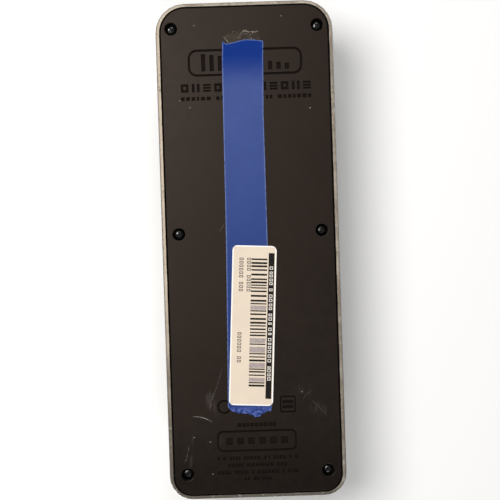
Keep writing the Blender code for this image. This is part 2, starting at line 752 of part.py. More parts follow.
def make_axle(steel, nylon, fibre, spring_steel):
    bm = bmesh.new()
    end = axle_end_x()
    add_rod(bm, AXLE_RADIUS, (-end, 0, PIVOT.z), (end, 0, PIVOT.z), 24)
    axle = piece("axle", bm, steel)
    bores = bmesh.new()
    for side in (1, -1):
        start = (side * (end - AXLE_BORE_DEPTH), 0, PIVOT.z)
        add_rod(bores, AXLE_BORE, start, (side * (end + MM), 0, PIVOT.z), 14)
    combine(axle, helper("axle_bores", bores))

    bushes = []
    for side, label in ((1, "right"), (-1, "left")):
        out = (side, 0, 0)
        seat = (side * axle_screw_seat() + side * GAP, 0, PIVOT.z)
        name = f"axle_screw_{label}"
        pan_screw(name, seat, out, steel, 5.2 * MM, 2 * MM, 2.1 * MM, 12 * MM)

        bore = AXLE_RADIUS + GAP
        shoulder = LUG_X[1] + GAP - LUG_X[0]
        profile = [
            (bore, shoulder + COLLAR),
            (COLLAR_RADIUS, shoulder + COLLAR),
            (COLLAR_RADIUS, shoulder),
            (BUSH_HOLE - GAP, shoulder),
            (BUSH_HOLE - GAP, 0),
            (bore, 0),
        ]
        where = (side * LUG_X[0], 0, PIVOT.z)
        bush = turned(f"axle_bush_{label}", profile, where, nylon, out, 16, ring=True)
        bushes.append(bush)

        face = LUG_X[1] + 2 * GAP + COLLAR
        where = (side * face, 0, PIVOT.z)
        name = f"friction_washer_{label}"
        washer(name, bore, COLLAR_RADIUS, FRICTION_WASHER, where, fibre, out)
        where = (side * (face + FRICTION_WASHER + GAP), 0, PIVOT.z)
        washer(f"spring_washer_{label}", bore, 6.5 * MM, 0.4 * MM, where, spring_steel, out)
    return bushes


def axle_end_x():
    return CHEEK_X - GAP


# Bumpers


def bumper_places():
    """(x, y, normal of the roof) for the four rubber stops."""
    for end in (1, -1):
        normal = Vector((0, end * math.sin(ROOF_SLOPE), math.cos(ROOF_SLOPE)))
        for side in (1, -1):
            yield side * BUMPER_X, end * BUMPER_Y, normal


def make_bumpers(rubber):
    profile = [
        (0, BUMPER_HEIGHT),
        (BUMPER_HEAD - 0.8 * MM, BUMPER_HEIGHT),
        (BUMPER_HEAD, BUMPER_HEIGHT - MM),
        (BUMPER_HEAD, GAP),
        (BUMPER_STEM, GAP),
        (BUMPER_STEM, -4.4 * MM),
        (0, -4.4 * MM),
    ]
    for x, y, normal in bumper_places():
        end = "toe" if y > 0 else "heel"
        side = "right" if x > 0 else "left"
        where = (x, y, roof_z(y))
        turned(f"bumper_{end}_{side}", profile, where, rubber, normal, 12)


# Treadle


def treadle_outline(inset):
    half_y = TREADLE_HALF_Y - inset
    heel = TREADLE_HEEL_CORNER - inset
    toe = TREADLE_TOE_CORNER - inset
    return rounded_outline(TREADLE_HALF_X - inset, -half_y, half_y, heel, toe)


def make_treadle(metal):
    bm = bmesh.new()
    add_prism(bm, treadle_outline(0), TREADLE_LOW, TREADLE_TOP)
    treadle = piece("treadle", bm, metal)
    round_edges(treadle, 1.2 * MM, 2)

    lugs = bmesh.new()
    lug_top = TREADLE_LOW + 1.5 * MM
    lug = [(LUG_HALF_Y, lug_top), (-LUG_HALF_Y, lug_top)]
    for i in range(9):
        angle = math.radians(190 + 160 * i / 8)
        lug.append((LUG_RADIUS * math.cos(angle), PIVOT.z + LUG_RADIUS * math.sin(angle)))
    for side in (1, -1):
        low, high = sorted((side * LUG_X[0], side * LUG_X[1]))
        add_prism(lugs, lug, low, high, "X")
    add_box(lugs, (-9 * MM, 11 * MM, SECTOR_PAD_LOW), (9 * MM, 41 * MM, lug_top))
    combine(treadle, helper("treadle_lugs", lugs), "UNION")

    recess = bmesh.new()
    floor = TREADLE_LOW + TREADLE_FLOOR
    add_prism(recess, treadle_outline(TREADLE_RIM), floor, TREADLE_TOP + MM)
    combine(treadle, helper("pad_recess", recess))

    pockets = bmesh.new()
    for end in (1, -1):
        for side in (1, -1):
            centre = (side * POCKET_CENTRE[0], end * POCKET_CENTRE[1])
            outline = box_outline(*centre, *POCKET_SIZE)
            add_prism(pockets, outline, TREADLE_LOW - MM, TREADLE_LOW + POCKET_DEPTH)
    combine(treadle, helper("weight_pockets", pockets))

    holes = bmesh.new()
    for side in (1, -1):
        start = (side * (LUG_X[0] - MM), 0, PIVOT.z)
        add_rod(holes, BUSH_HOLE, start, (side * (LUG_X[1] + MM), 0, PIVOT.z), 24)
    for x, y in SECTOR_SCREWS.values():
        low = (x, y, SECTOR_PAD_LOW - MM)
        add_rod(holes, SECTOR_SCREW_HOLE, low, (x, y, SECTOR_PAD_LOW + 4 * MM), 12)
    combine(treadle, helper("treadle_holes", holes))
    return treadle


def make_pad(rubber):
    """The ribbed rubber tread, one profile of round ribs across the foot."""
    low = TREADLE_LOW + TREADLE_FLOOR + GAP
    base = PAD_TOP - PAD_RIB
    reach = TREADLE_HALF_Y
    profile = [(-reach, low), (reach, low), (reach, base)]
    for i in range(PAD_RIB_COUNT):
        y = ((PAD_RIB_COUNT - 1) / 2 - i) * PAD_RIB_PITCH
        profile += [
            (y + PAD_RIB_FOOT, base),
            (y + PAD_RIB_CROWN, PAD_TOP),
            (y - PAD_RIB_CROWN, PAD_TOP),
            (y - PAD_RIB_FOOT, base),
        ]
    profile.append((-reach, base))
    bm = bmesh.new()
    add_prism(bm, profile, -TREADLE_HALF_X, TREADLE_HALF_X, "X")
    pad = piece("tread_pad", bm, rubber)
    edge = bmesh.new()
    add_prism(edge, treadle_outline(TREADLE_RIM + GAP), low - MM, PAD_TOP + MM)
    combine(pad, helper("pad_edge", edge), "INTERSECT")
    return pad


# Band drive


def polar(angle, radius, along=0.0):
    """(y, z) of a point at an angle and radius from the axle, moved along the tangent."""
    y = radius * math.cos(angle) - along * math.sin(angle)
    z = radius * math.sin(angle) + along * math.cos(angle)
    return PIVOT.y + y, PIVOT.z + z


def arc(radius, first, last, steps=14):
    return [polar(first + (last - first) * i / steps, radius) for i in range(steps + 1)]


def make_sector(metal):
    """The arm under the treadle: a bolted flange, a thin web and a broad rim for the band."""
    first = SECTOR_MIDDLE + SECTOR_HALF
    last = SECTOR_MIDDLE - SECTOR_HALF
    rim_inner = SECTOR_RADIUS - RIM_DEPTH
    bm = bmesh.new()
    outline = arc(SECTOR_RADIUS, first, last) + arc(rim_inner, last, first)
    add_prism(bm, outline, -RIM_HALF_X, RIM_HALF_X, "X")
    sector = piece("drive_sector", bm, metal)

    web = bmesh.new()
    web_outline = [(13 * MM, FLANGE_LOW + MM), (39 * MM, FLANGE_LOW + MM)]
    web_outline.append(polar(first, 43 * MM))
    web_outline += arc(rim_inner + 2 * MM, first - WEB_MARGIN, last + WEB_MARGIN, 6)
    web_outline += [polar(last + WEB_MARGIN, 38 * MM), (23 * MM, 37 * MM), (14 * MM, 47 * MM)]
    add_prism(web, web_outline, -WEB_HALF_X, WEB_HALF_X, "X")
    combine(sector, helper("sector_web", web), "UNION")
    flange = bmesh.new()
    add_box(flange, (-8 * MM, 12 * MM, FLANGE_LOW), (8 * MM, 40 * MM, FLANGE_HIGH))
    combine(sector, helper("sector_flange", flange), "UNION")

    holes = bmesh.new()
    for x, y in SECTOR_SCREWS.values():
        low = (x, y, FLANGE_LOW - MM)
        add_rod(holes, SECTOR_SCREW_HOLE, low, (x, y, FLANGE_HIGH + MM), 12)
    add_rod(holes, 5 * MM, (-5 * MM, 30 * MM, 43 * MM), (5 * MM, 30 * MM, 43 * MM), 20)
    for angle, side in ((first, 1), (last, -1)):
        start = polar(angle, CLAMP_SCREW_AT, -side * 5 * MM)
        end = polar(angle, CLAMP_SCREW_AT, side * MM)
        add_rod(holes, CLAMP_HOLE, (0, *start), (0, *end), 12)
    combine(sector, helper("sector_holes", holes))
    return sector


def make_band(steel):
    """The stretch of steel band that lies on the sector, with its two ends folded over the rim."""
    first = SECTOR_MIDDLE + SECTOR_HALF
    last = SECTOR_MIDDLE - SECTOR_HALF
    inner = SECTOR_RADIUS + GAP
    outer = inner + BAND_THICKNESS
    foot = SECTOR_RADIUS - 4.4 * MM
    under = GAP
    over = GAP + BAND_THICKNESS
    outline = [polar(first, foot, under), polar(first, inner, under)]
    outline += arc(inner, first, last)
    outline += [polar(last, inner, -under), polar(last, foot, -under)]
    outline += [polar(last, foot, -over), polar(last, outer, -over)]
    outline += arc(outer, last, first)
    outline += [polar(first, outer, over), polar(first, foot, over)]
    bm = bmesh.new()
    add_prism(bm, outline, -BAND_HALF_X, BAND_HALF_X, "X")
    band = piece("drive_band", bm, steel)
    holes = bmesh.new()
    for angle, side in ((first, 1), (last, -1)):
        start = polar(angle, CLAMP_SCREW_AT, 0)
        end = polar(angle, CLAMP_SCREW_AT, side * 2 * MM)
        add_rod(holes, CLAMP_HOLE, (0, *start), (0, *end), 12)
    combine(band, helper("band_holes", holes))
    return band


def make_band_clamps(steel):
    made = []
    inner = GAP + BAND_THICKNESS + GAP
    outer = inner + CLAMP_THICKNESS
    for angle, side, label in (
        (SECTOR_MIDDLE + SECTOR_HALF, 1, "upper"),
        (SECTOR_MIDDLE - SECTOR_HALF, -1, "lower"),
    ):
        low, high = SECTOR_RADIUS - 4.6 * MM, SECTOR_RADIUS - 0.4 * MM
        outline = [
            polar(angle, low, side * inner),
            polar(angle, high, side * inner),
            polar(angle, high, side * outer),
            polar(angle, low, side * outer),
        ]
        bm = bmesh.new()
        add_prism(bm, outline, -CLAMP_HALF_X, CLAMP_HALF_X, "X")
        clamp = piece(f"band_clamp_{label}", bm, steel)
        hole = bmesh.new()
        start = polar(angle, CLAMP_SCREW_AT, side * (inner - MM))
        end = polar(angle, CLAMP_SCREW_AT, side * (outer + MM))
        add_rod(hole, CLAMP_HOLE, (0, *start), (0, *end), 12)
        combine(clamp, helper(f"clamp_hole_{label}", hole))
        where = (0, *polar(angle, CLAMP_SCREW_AT, side * (outer + GAP)))
        out = Vector((0, -side * math.sin(angle), side * math.cos(angle)))
        name = f"band_screw_{label}"
        screw = pan_screw(name, where, out, steel, 1.9 * MM, 1.2 * MM, MM, 6 * MM)
        made += [clamp, screw]
    return made


def make_pulley(brass, steel, nickel):
    def across(radius, low, high, segments=24):
        bm = bmesh.new()
        add_rod(bm, radius, (low, PULLEY.y, PULLEY.z), (high, PULLEY.y, PULLEY.z), segments)
        return bm

    pulley = piece("drive_pulley", across(PULLEY_RADIUS, -3.8 * MM, 5 * MM), brass)
    combine(pulley, helper("pulley_collar", across(6.2 * MM, 4.4 * MM, 8.4 * MM)), "UNION")
    combine(pulley, helper("pulley_bore", across(SHAFT_RADIUS + GAP, -6 * MM, 10 * MM, 24)))
    tap = bmesh.new()
    end = (GRUB_X, PULLEY.y + 8 * MM, PULLEY.z)
    add_rod(tap, CLAMP_HOLE, (GRUB_X, PULLEY.y, PULLEY.z), end, 12)
    combine(pulley, helper("pulley_tap", tap))

    face_x = BRACKET_X[1] + GAP
    shaft = piece("pot_shaft", across(SHAFT_RADIUS, -4.6 * MM, face_x + 2.6 * MM, 24), nickel)
    loop_inner = PULLEY_RADIUS + GAP
    loop = washer(
        "band_turn",
        loop_inner,
        loop_inner + BAND_THICKNESS,
        2 * BAND_HALF_X,
        (-BAND_HALF_X, PULLEY.y, PULLEY.z),
        steel,
        (1, 0, 0),
        24,
    )
    grub = bmesh.new()
    start = (GRUB_X, PULLEY.y + SHAFT_RADIUS + GAP, PULLEY.z)
    add_rod(grub, MM, start, (GRUB_X, PULLEY.y + 6 * MM, PULLEY.z), 12)
    return [pulley, shaft, loop, piece("pulley_screw", grub, steel)]


def main():
    global parts, cutters
    clear_scene()
    parts = new_collection("volume_pedal")
    cutters = new_collection("cutters")

    casting = finish("cast_grey_paint", (0.42, 0.40, 0.37), 0.45, 0.6)
    sole_rubber = finish("sole_rubber", (0.035, 0.028, 0.024), 0.7)
    black_screw = finish("black_screw_steel", (0.02, 0.02, 0.02), 0.35, 0.8)
    zinc = finish("zinc_steel", (0.55, 0.55, 0.54), 0.35, 1)
    nickel = finish("nickel", (0.65, 0.63, 0.58), 0.25, 1)
    brass = finish("brass", (0.7, 0.52, 0.25), 0.3, 1)
    black_plastic = finish("black_plastic", (0.02, 0.02, 0.022), 0.4)
    nylon = finish("nylon", (0.8, 0.79, 0.74), 0.5)
    fibre = finish("fibre", (0.35, 0.1, 0.06), 0.7)
    board = finish("circuit_board_green", (0.02, 0.16, 0.07), 0.4)
    wire_colours = [
        finish("wire_white", (0.75, 0.75, 0.73), 0.45),
        finish("wire_red", (0.55, 0.03, 0.03), 0.45),
        finish("wire_black", (0.02, 0.02, 0.02), 0.45),
    ]

    make_housing(casting)
    make_base_plate(zinc)
    make_sole(sole_rubber)
    make_base_screws(black_screw)
    for label, x in JACK_X.items():
        make_jack(label, x, black_plastic, nickel)
    make_circuit_board(board, nylon)
    make_potentiometer(zinc, nickel, zinc)
    make_wires(wire_colours)
    bushes = make_axle(zinc, nylon, fibre, nickel)
    make_bumpers(sole_rubber)

    screws = []
    for label, (x, y) in SECTOR_SCREWS.items():
        where = (x, y, FLANGE_LOW - GAP)
        name = f"sector_screw_{label}"
        screw = pan_screw(name, where, (0, 0, -1), black_screw, 2.5 * MM, 1.7 * MM, 1.4 * MM, 7 * MM)
        screws.append(screw)
    rocking = [make_treadle(casting), make_pad(sole_rubber)]
    rocking += [make_sector(casting), make_band(nickel)]
    rocking += bushes + screws + make_band_clamps(zinc)
    hang(pivot_empty("treadle_pivot", PIVOT), *rocking)
    hang(pivot_empty("pulley_pivot", PULLEY), *make_pulley(brass, nickel, zinc))


main()
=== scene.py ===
"""The looks of a band-drive volume pedal, seen from below with its toe end up.

Metres, +Z up, +Y towards the toe. The sole's underside is the plane z = 0.
"""

import json
import math
import random

import bmesh
import bpy
from mathutils import Euler, Matrix, Vector, noise

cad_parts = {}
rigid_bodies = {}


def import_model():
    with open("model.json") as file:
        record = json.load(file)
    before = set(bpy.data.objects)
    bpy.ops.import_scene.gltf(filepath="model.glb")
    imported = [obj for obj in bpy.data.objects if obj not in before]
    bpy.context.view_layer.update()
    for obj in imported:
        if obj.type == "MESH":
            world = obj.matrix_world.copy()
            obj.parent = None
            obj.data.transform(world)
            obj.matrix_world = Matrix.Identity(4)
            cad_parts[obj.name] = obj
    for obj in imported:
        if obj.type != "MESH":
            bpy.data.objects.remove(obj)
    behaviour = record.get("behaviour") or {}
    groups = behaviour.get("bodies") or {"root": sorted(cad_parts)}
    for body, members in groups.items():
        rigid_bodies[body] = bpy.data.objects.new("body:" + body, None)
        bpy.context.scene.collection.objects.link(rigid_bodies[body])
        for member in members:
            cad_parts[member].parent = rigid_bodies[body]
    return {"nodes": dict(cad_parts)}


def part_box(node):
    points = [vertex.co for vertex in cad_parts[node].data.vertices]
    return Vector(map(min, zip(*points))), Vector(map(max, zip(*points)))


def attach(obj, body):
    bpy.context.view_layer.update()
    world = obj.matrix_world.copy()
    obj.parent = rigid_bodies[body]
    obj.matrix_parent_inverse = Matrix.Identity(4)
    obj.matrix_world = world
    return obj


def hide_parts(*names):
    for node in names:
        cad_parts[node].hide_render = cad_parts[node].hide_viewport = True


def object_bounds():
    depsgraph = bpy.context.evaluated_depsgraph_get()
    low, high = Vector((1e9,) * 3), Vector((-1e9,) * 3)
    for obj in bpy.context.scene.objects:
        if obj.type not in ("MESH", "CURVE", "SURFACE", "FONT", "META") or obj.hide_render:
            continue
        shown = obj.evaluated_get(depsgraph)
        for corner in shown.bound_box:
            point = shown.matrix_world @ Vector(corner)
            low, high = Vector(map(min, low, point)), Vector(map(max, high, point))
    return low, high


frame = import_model()
CAD_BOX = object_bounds()

MM = 0.001

# Camera: under the object, looking up
LENS = 85
CAMERA_AT = Vector((0.0024, 0.0054, -0.6645))
CAMERA_TURN = Euler((math.radians(-0.46), math.radians(-0.17), math.radians(-1.84)))

# What is moulded into the sole: (centre x, centre y, width, height, corner radius)
TOE_FRAME = (0, 105.9 * MM, 64.4 * MM, 15.2 * MM, 5 * MM)
HEEL_FRAME = (0, -107.4 * MM, 45 * MM, 12 * MM, 3.5 * MM)
SIDE_FRAME = (-18 * MM, -87.4 * MM, 9 * MM, 9.4 * MM, 1 * MM)
RING_AT = (17.9 * MM, -87.9 * MM)
RING_RADIUS = 4 * MM
WELL_RADIUS = 3.45 * MM
MARK_DEPTH = 0.8 * MM
MARK_FLARE = 0.12 * MM  # how much wider a mark is at the sole's face
FINE_FLARE = 0.05 * MM
TOOL_LOW = -0.5 * MM  # where the tools that cut into the sole start, clear of its face
SIGN_LINE = 1.35 * MM
SOLE_ROUND = (13.8 * MM, 9.8 * MM)  # corner radius of the sole at the toe and at the heel
SOLE_GAP = 0.3 * MM  # more room round the sole than in the CAD, so that a dark joint shows

# Pale specks on the sole, in mm
SPECKS = (
    (-26.1, -80.7), (35.4, -104.6), (-5.2, -117.6), (25.5, -125.6), (26.4, -107.5),
    (37.4, 85), (31.8, 81), (-21, 131), (28, 127),
)

# Dusty smudges on the sole: x, y and the reach each way in mm, then the turn
SMUDGES = (
    (-26, -81, 9, 8, 0.5),
    (-36, -93, 6, 10, 0.6),
    (40, -117, 6, 9, -0.4),
    (38, -106, 5, 5, -0.6),
    (25, -84, 5, 12, 0.3),
    (24, -108, 8, 4, 0.3),
    (13, 12, 5, 8, 0.2),
)

# Scratches on the sole: x, y, length and width in mm, then bow, turn in degrees and strength
SCRATCHES = (
    (30.3, -93.6, 13, 0.36, 29.0, 163, 0.6),
    (22, -77, 26, 0.3, 3.0, 70, 0.16),
    (25, -84, 12, 0.35, -12.0, 78, 0.2),
    (16, 13, 6, 0.2, 20.0, 60, 0.25),
    (39.5, -114, 12, 0.3, 8.0, 75, 0.22),
    (-35, -89, 12, 0.3, 30.0, 130, 0.12),
    (-29, -82, 10, 0.3, -40.0, 40, 0.1),
)

# Screws: height of the pan head and radius of the shank
SOLE_SCREW = (2.2 * MM, 1.7 * MM)
CHEEK_SCREW = (2.0 * MM, 2.1 * MM)

# Tape, stuck on under the sole and torn off at both ends
TAPE_TOP = 118 * MM
TAPE_END = -92 * MM
TAPE_THICKNESS = 0.12 * MM
TAPE_GAP = 0.03 * MM  # between the sole and the middle of the tape's thickness
TAPE_SLACK = 0.03 * MM  # height of its waves
TAPE_ROWS = 320
TAPE_COLUMNS = 60

# The torn ends in mm along the tape, by the share across it
TAPE_TOP_LINE = ((0, -0.3), (0.09, -1.8), (0.3, -0.9), (0.55, 0.4), (0.78, 0.1), (1, -0.7))
TAPE_END_LINE = (
    (0, 3.9), (0.05, 2.2), (0.12, 1.1), (0.26, 0.3), (0.49, -0.4), (0.62, -2.0),
    (0.71, -1.9), (0.79, -0.2), (0.9, 0.9), (0.97, 0.9), (1, 4.2),
)

# The side edges in mm from the middle line, by the share down the tape
TAPE_PLUS_X = ((0, 12.4), (0.05, 12.9), (0.2, 13.2), (0.52, 13.8), (0.8, 14.9), (1, 15.8))
TAPE_MINUS_X = ((0, -10.5), (0.05, -10.2), (0.2, -9.4), (0.52, -9.4), (0.8, -9.2), (1, -9.0))

# Label, stuck on over the tape
LABEL_SIZE = (24.8 * MM, 90.1 * MM)
LABEL_CORNER = 2.8 * MM
LABEL_AT = Vector((0.4 * MM, -42.6 * MM, 0))
LABEL_TURN = math.radians(3.2)
LABEL_THICKNESS = 0.12 * MM
LABEL_MARGIN = (0.85 * MM, 0.45 * MM)  # where the white margin starts, and is full, from the edge
PRINT_THICKNESS = 0.02 * MM
PRINT_SINK = 0.005 * MM  # how far print reaches into what it lies on

# Glue left beyond the tape's toe end
FILM_AT = (1.4 * MM, 119.2 * MM)
FILM_REACH = (10.3 * MM, 3.7 * MM)
FILM_STEPS = 72

# Tread: corner radii at the toe and the heel, and its ribs
TREAD_ROUND = (13.1 * MM, 9.1 * MM)
RIB_COUNT = 31
RIB_PITCH = 8 * MM
RIB_HEIGHT = 1.2 * MM
RIB_INSET = 4.2 * MM
RIB_FOOT = (2.3 * MM, 2.2 * MM)  # half of its width, and the radius of its ends
RIB_CROWN = (1.7 * MM, 1.6 * MM)

# Stage: two one-sided planes, just under and just over the object
STAGE_HALF = 30.0
FLOOR_Z = -0.45 * MM
BACKDROP_GAP = 0.2 * MM

# Lights from below: place, size, watts and colour
KEY_BELOW = ((0.44, 0.26, -1.1), 0.66, 11.6, (1.0, 0.985, 0.965))
FILL_BELOW_TOE = ((-0.05, 0.9, -1.0), 0.5, 4.3)
FILL_BELOW_HEEL = ((-0.05, -0.9, -1.0), 0.5, 4.3)
# Lights from above: direction, angle and strength
KEY_ABOVE = ((0.7, -0.8, 1.2), 24, 2.1)
FILL_ABOVE = ((-1.0, 0.5, 1.0), 50, 1.1)
WORLD_STRENGTH = 0.16
WORLD_SEEN = (0.77, 0.77, 0.755, 1)

ROUND_STEPS = 40  # sides of the screws and their wells
CORNERS = ((1, 1), (-1, 1), (-1, -1), (1, -1))

BASE = "base"
TREADLE = "treadle"

nodes = frame["nodes"]


# Meshes


def add_to_scene(name, data):
    obj = bpy.data.objects.new(name, data)
    bpy.context.scene.collection.objects.link(obj)
    return obj


def add_object(name, bm, material=None):
    bmesh.ops.recalc_face_normals(bm, faces=bm.faces)
    mesh = bpy.data.meshes.new(name)
    bm.to_mesh(mesh)
    bm.free()
    if material:
        mesh.materials.append(material)
    return add_to_scene(name, mesh)


def settle(obj, angle=35):
    """Makes an object's modifiers final and shades it smooth between its sharp edges."""
    graph = bpy.context.evaluated_depsgraph_get()
    mesh = bpy.data.meshes.new_from_object(obj.evaluated_get(graph))
    obj.modifiers.clear()
    obj.data = mesh
    mesh.shade_smooth()
    mesh.set_sharp_from_angle(angle=math.radians(angle))
    return obj


def even_normals(obj):
    """Lets the broad flat faces keep their own direction beside rounded edges."""
    step = obj.modifiers.new("Normals", "WEIGHTED_NORMAL")
    step.keep_sharp = True
    step.weight = 80


def cut(obj, tool, operation="DIFFERENCE"):
    """Cuts a tool out of an object, or joins it on; a tool's own material stays on its faces."""
    step = obj.modifiers.new("Cut", "BOOLEAN")
    step.operation = operation
    step.solver = "EXACT"
    step.object = tool
    if tool.material_slots:
        step.material_mode = "TRANSFER"
    settle(obj)
    bpy.data.objects.remove(tool)


def bevel(obj, width, segments=2, angle=40):
    step = obj.modifiers.new("Bevel", "BEVEL")
    step.width = width
    step.segments = segments
    step.limit_method = "ANGLE"
    step.angle_limit = math.radians(angle)
    return settle(obj)


def rounded_outline(half_x, low_y, high_y, low_radius, high_radius, steps):
    """A rectangle with round corners, anticlockwise from the upper corner at +X."""
    corners = (
        (half_x - high_radius, high_y - high_radius, high_radius, 0),
        (high_radius - half_x, high_y - high_radius, high_radius, 90),
        (low_radius - half_x, low_y + low_radius, low_radius, 180),
        (half_x - low_radius, low_y + low_radius, low_radius, 270),
    )
    points = []
    for x, y, radius, start in corners:
        for i in range(steps + 1):
            angle = math.radians(start + 90 * i / steps)
            points.append((x + radius * math.cos(angle), y + radius * math.sin(angle)))
    return points


def frame_outline(centre_x, centre_y, width, height, radius):
    outline = rounded_outline(width / 2, -height / 2, height / 2, radius, radius, 6)
    return [(centre_x + x, centre_y + y) for x, y in outline]


def box_corners(x, y, width, height):
    """The corners of a box about (x, y), anticlockwise from the upper one at +X."""
    return [(x + a * width / 2, y + b * height / 2) for a, b in CORNERS]


def circle(x, y, radius, steps):
    points = []
    for i in range(steps):
        angle = 2 * math.pi * i / steps
        points.append((x + radius * math.cos(angle), y + radius * math.sin(angle)))
    return points


def add_ring(bm, outline, z):
    return [bm.verts.new((x, y, z)) for x, y in outline]


def close_rings(bm, rings):
    """A solid through rings with the same number of points, closed at both ends."""
    bm.faces.new(rings[0])
    bm.faces.new(rings[-1])
    count = len(rings[0])
    for lower, upper in zip(rings, rings[1:]):
        for i in range(count):
            j = (i + 1) % count
            bm.faces.new((lower[i], lower[j], upper[j], upper[i]))


def add_prism(bm, outline, low, high):
    face = bm.faces.new(add_ring(bm, outline, low))
    made = bmesh.ops.extrude_face_region(bm, geom=[face])["geom"]
    moved = [item for item in made if isinstance(item, bmesh.types.BMVert)]
    bmesh.ops.translate(bm, vec=(0, 0, high - low), verts=moved)


def add_drafted(bm, lower, upper, low, high):
    """A solid between two outlines with the same number of points."""
    close_rings(bm, [add_ring(bm, lower, low), add_ring(bm, upper, high)])


def add_block(bm, x, y, width, height, flare=MARK_FLARE):
    """A bar that cuts a mark with leaning sides into the sole."""
    rings = []
    for grow, z in ((flare, TOOL_LOW), (flare, 0), (0, MARK_DEPTH)):
        rings.append(add_ring(bm, box_corners(x, y, width + 2 * grow, height + 2 * grow), z))
    close_rings(bm, rings)


def add_groove(bm, outer, inner):
    """What cuts a groove into the sole, between two outlines with the same number of points."""
    rings = [add_ring(bm, outer, z) for z in (TOOL_LOW, MARK_DEPTH)]
    rings += [add_ring(bm, inner, z) for z in (MARK_DEPTH, TOOL_LOW)]
    count = len(outer)
    for here, there in zip(rings, rings[1:] + rings[:1]):
        for i in range(count):
            j = (i + 1) % count
            bm.faces.new((here[i], here[j], there[j], there[i]))


def placing(where, direction, spin=0.0):
    """Puts the origin at a place and +Z along a direction, spun about that direction."""
    aim = Vector((0, 0, 1)).rotation_difference(Vector(direction)).to_matrix().to_4x4()
    return Matrix.Translation(where) @ aim @ Matrix.Rotation(spin, 4, "Z")


def turned(name, profile, where, direction, material):
    """A solid turned about its own axis from (radius, height) points; both ends lie on the axis."""
    bm = bmesh.new()
    rings = []
    for radius, height in profile:
        if radius == 0:
            rings.append([bm.verts.new((0, 0, height))])
        else:
            rings.append(add_ring(bm, circle(0, 0, radius, ROUND_STEPS), height))
    for lower, upper in zip(rings, rings[1:]):
        for i in range(ROUND_STEPS):
            j = (i + 1) % ROUND_STEPS
            face = [lower[i % len(lower)], lower[j % len(lower)]]
            face += [upper[j % len(upper)], upper[i % len(upper)]]
            bm.faces.new(list(dict.fromkeys(face)))
    bmesh.ops.transform(bm, matrix=placing(where, direction), verts=bm.verts)
    return settle(add_object(name, bm, material))


# Materials. A socket knows its own tree, so what starts from a socket isn't given the tree.


def link(tree, socket, value):
    if isinstance(value, bpy.types.NodeSocket):
        tree.links.new(value, socket)
    elif isinstance(value, tuple) and len(value) == 3 and len(socket.default_value) == 4:
        socket.default_value = (*value, 1)
    else:
        socket.default_value = value


def node(tree, kind, settings=None, **inputs):
    """A shader node, with its settings and its inputs by name."""
    made = tree.nodes.new("ShaderNode" + kind)
    for key, value in (settings or {}).items():
        setattr(made, key, value)
    for key, value in inputs.items():
        link(tree, made.inputs[key.replace("_", " ")], value)
    return made


def coords(tree, scale=(1, 1, 1), turn=0.0):
    """The object's own coordinates, in metres, stretched or turned about Z."""
    place = node(tree, "TexCoord").outputs["Object"]
    if scale == (1, 1, 1) and turn == 0.0:
        return place
    step = node(tree, "Mapping", Vector=place, Scale=scale, Rotation=(0, 0, turn))
    return step.outputs["Vector"]


def grain(tree, scale, detail=3.0, rough=0.55, vector=None, distortion=0.0):
    """Noise from 0 to 1; scale is how many features there are to a metre."""
    made = node(
        tree,
        "TexNoise",
        Vector=vector or coords(tree),
        Scale=scale,
        Detail=detail,
        Roughness=rough,
        Distortion=distortion,
    )
    return made.outputs["Fac"]


def spread(value, low, high, to_low=0.0, to_high=1.0):
    """Value brought smoothly from low..high to to_low..to_high, and held there outside."""
    made = node(
        value.id_data,
        "MapRange",
        {"clamp": True, "interpolation_type": "SMOOTHSTEP"},
        Value=value,
        From_Min=low,
        From_Max=high,
        To_Min=to_low,
        To_Max=to_high,
    )
    return made.outputs["Result"]


def maths(operation, first, second=0.0):
    tree = first.id_data
    made = node(tree, "Math", {"operation": operation})
    link(tree, made.inputs[0], first)
    link(tree, made.inputs[1], second)
    return made.outputs[0]


def times(first, second):
    return maths("MULTIPLY", first, second)


def plus(first, second):
    return maths("ADD", first, second)


def mix(share, first, second):
    """Two colours mixed by share."""
    tree = share.id_data
    made = node(tree, "Mix", {"data_type": "RGBA"})
    link(tree, made.inputs[0], share)
    link(tree, made.inputs[6], first)
    link(tree, made.inputs[7], second)
    return made.outputs[2]


def bump(height, depth, strength=1.0, under=None):
    tree = height.id_data
    made = node(tree, "Bump", Height=height, Distance=depth, Strength=strength)
    if under is not None:
        tree.links.new(under, made.inputs["Normal"])
    return made.outputs["Normal"]


def axis(tree, vector=None):
    """The x, y and z of a vector."""
    made = node(tree, "SeparateXYZ", Vector=vector or coords(tree))
    return made.outputs[0], made.outputs[1], made.outputs[2]


def material_of(name, roughness, metallic=0.0, **fixed):
    """A Principled material; fixed holds shader values that are the same all over."""
    made = bpy.data.materials.new(name)
    made.use_nodes = True
    tree = made.node_tree
    shader = tree.nodes["Principled BSDF"]
    shader.inputs["Metallic"].default_value = metallic
    link(tree, shader.inputs["Roughness"], roughness)
    for key, value in fixed.items():
        link(tree, shader.inputs[key.replace("_", " ")], value)
    return made, tree, shader


def wire(tree, shader, colour, rough, normal):
    for key, value in (("Base Color", colour), ("Roughness", rough), ("Normal", normal)):
        link(tree, shader.inputs[key], value)


def plain(name, dark, light, rough, metallic=0.0, size=120, fine=1800, **fixed):
    """A material whose colour drifts between two tones, with fine grain in its gloss and relief."""
    made, tree, shader = material_of(name, rough, metallic, **fixed)
    drift = spread(grain(tree, size, 4), 0.35, 0.65)
    colour = mix(drift, dark, light)
    small = grain(tree, fine, 2)
    gloss = spread(small, 0.3, 0.7, rough - 0.06, rough + 0.08)
    wire(tree, shader, colour, gloss, bump(small, 0.02 * MM))
    return made


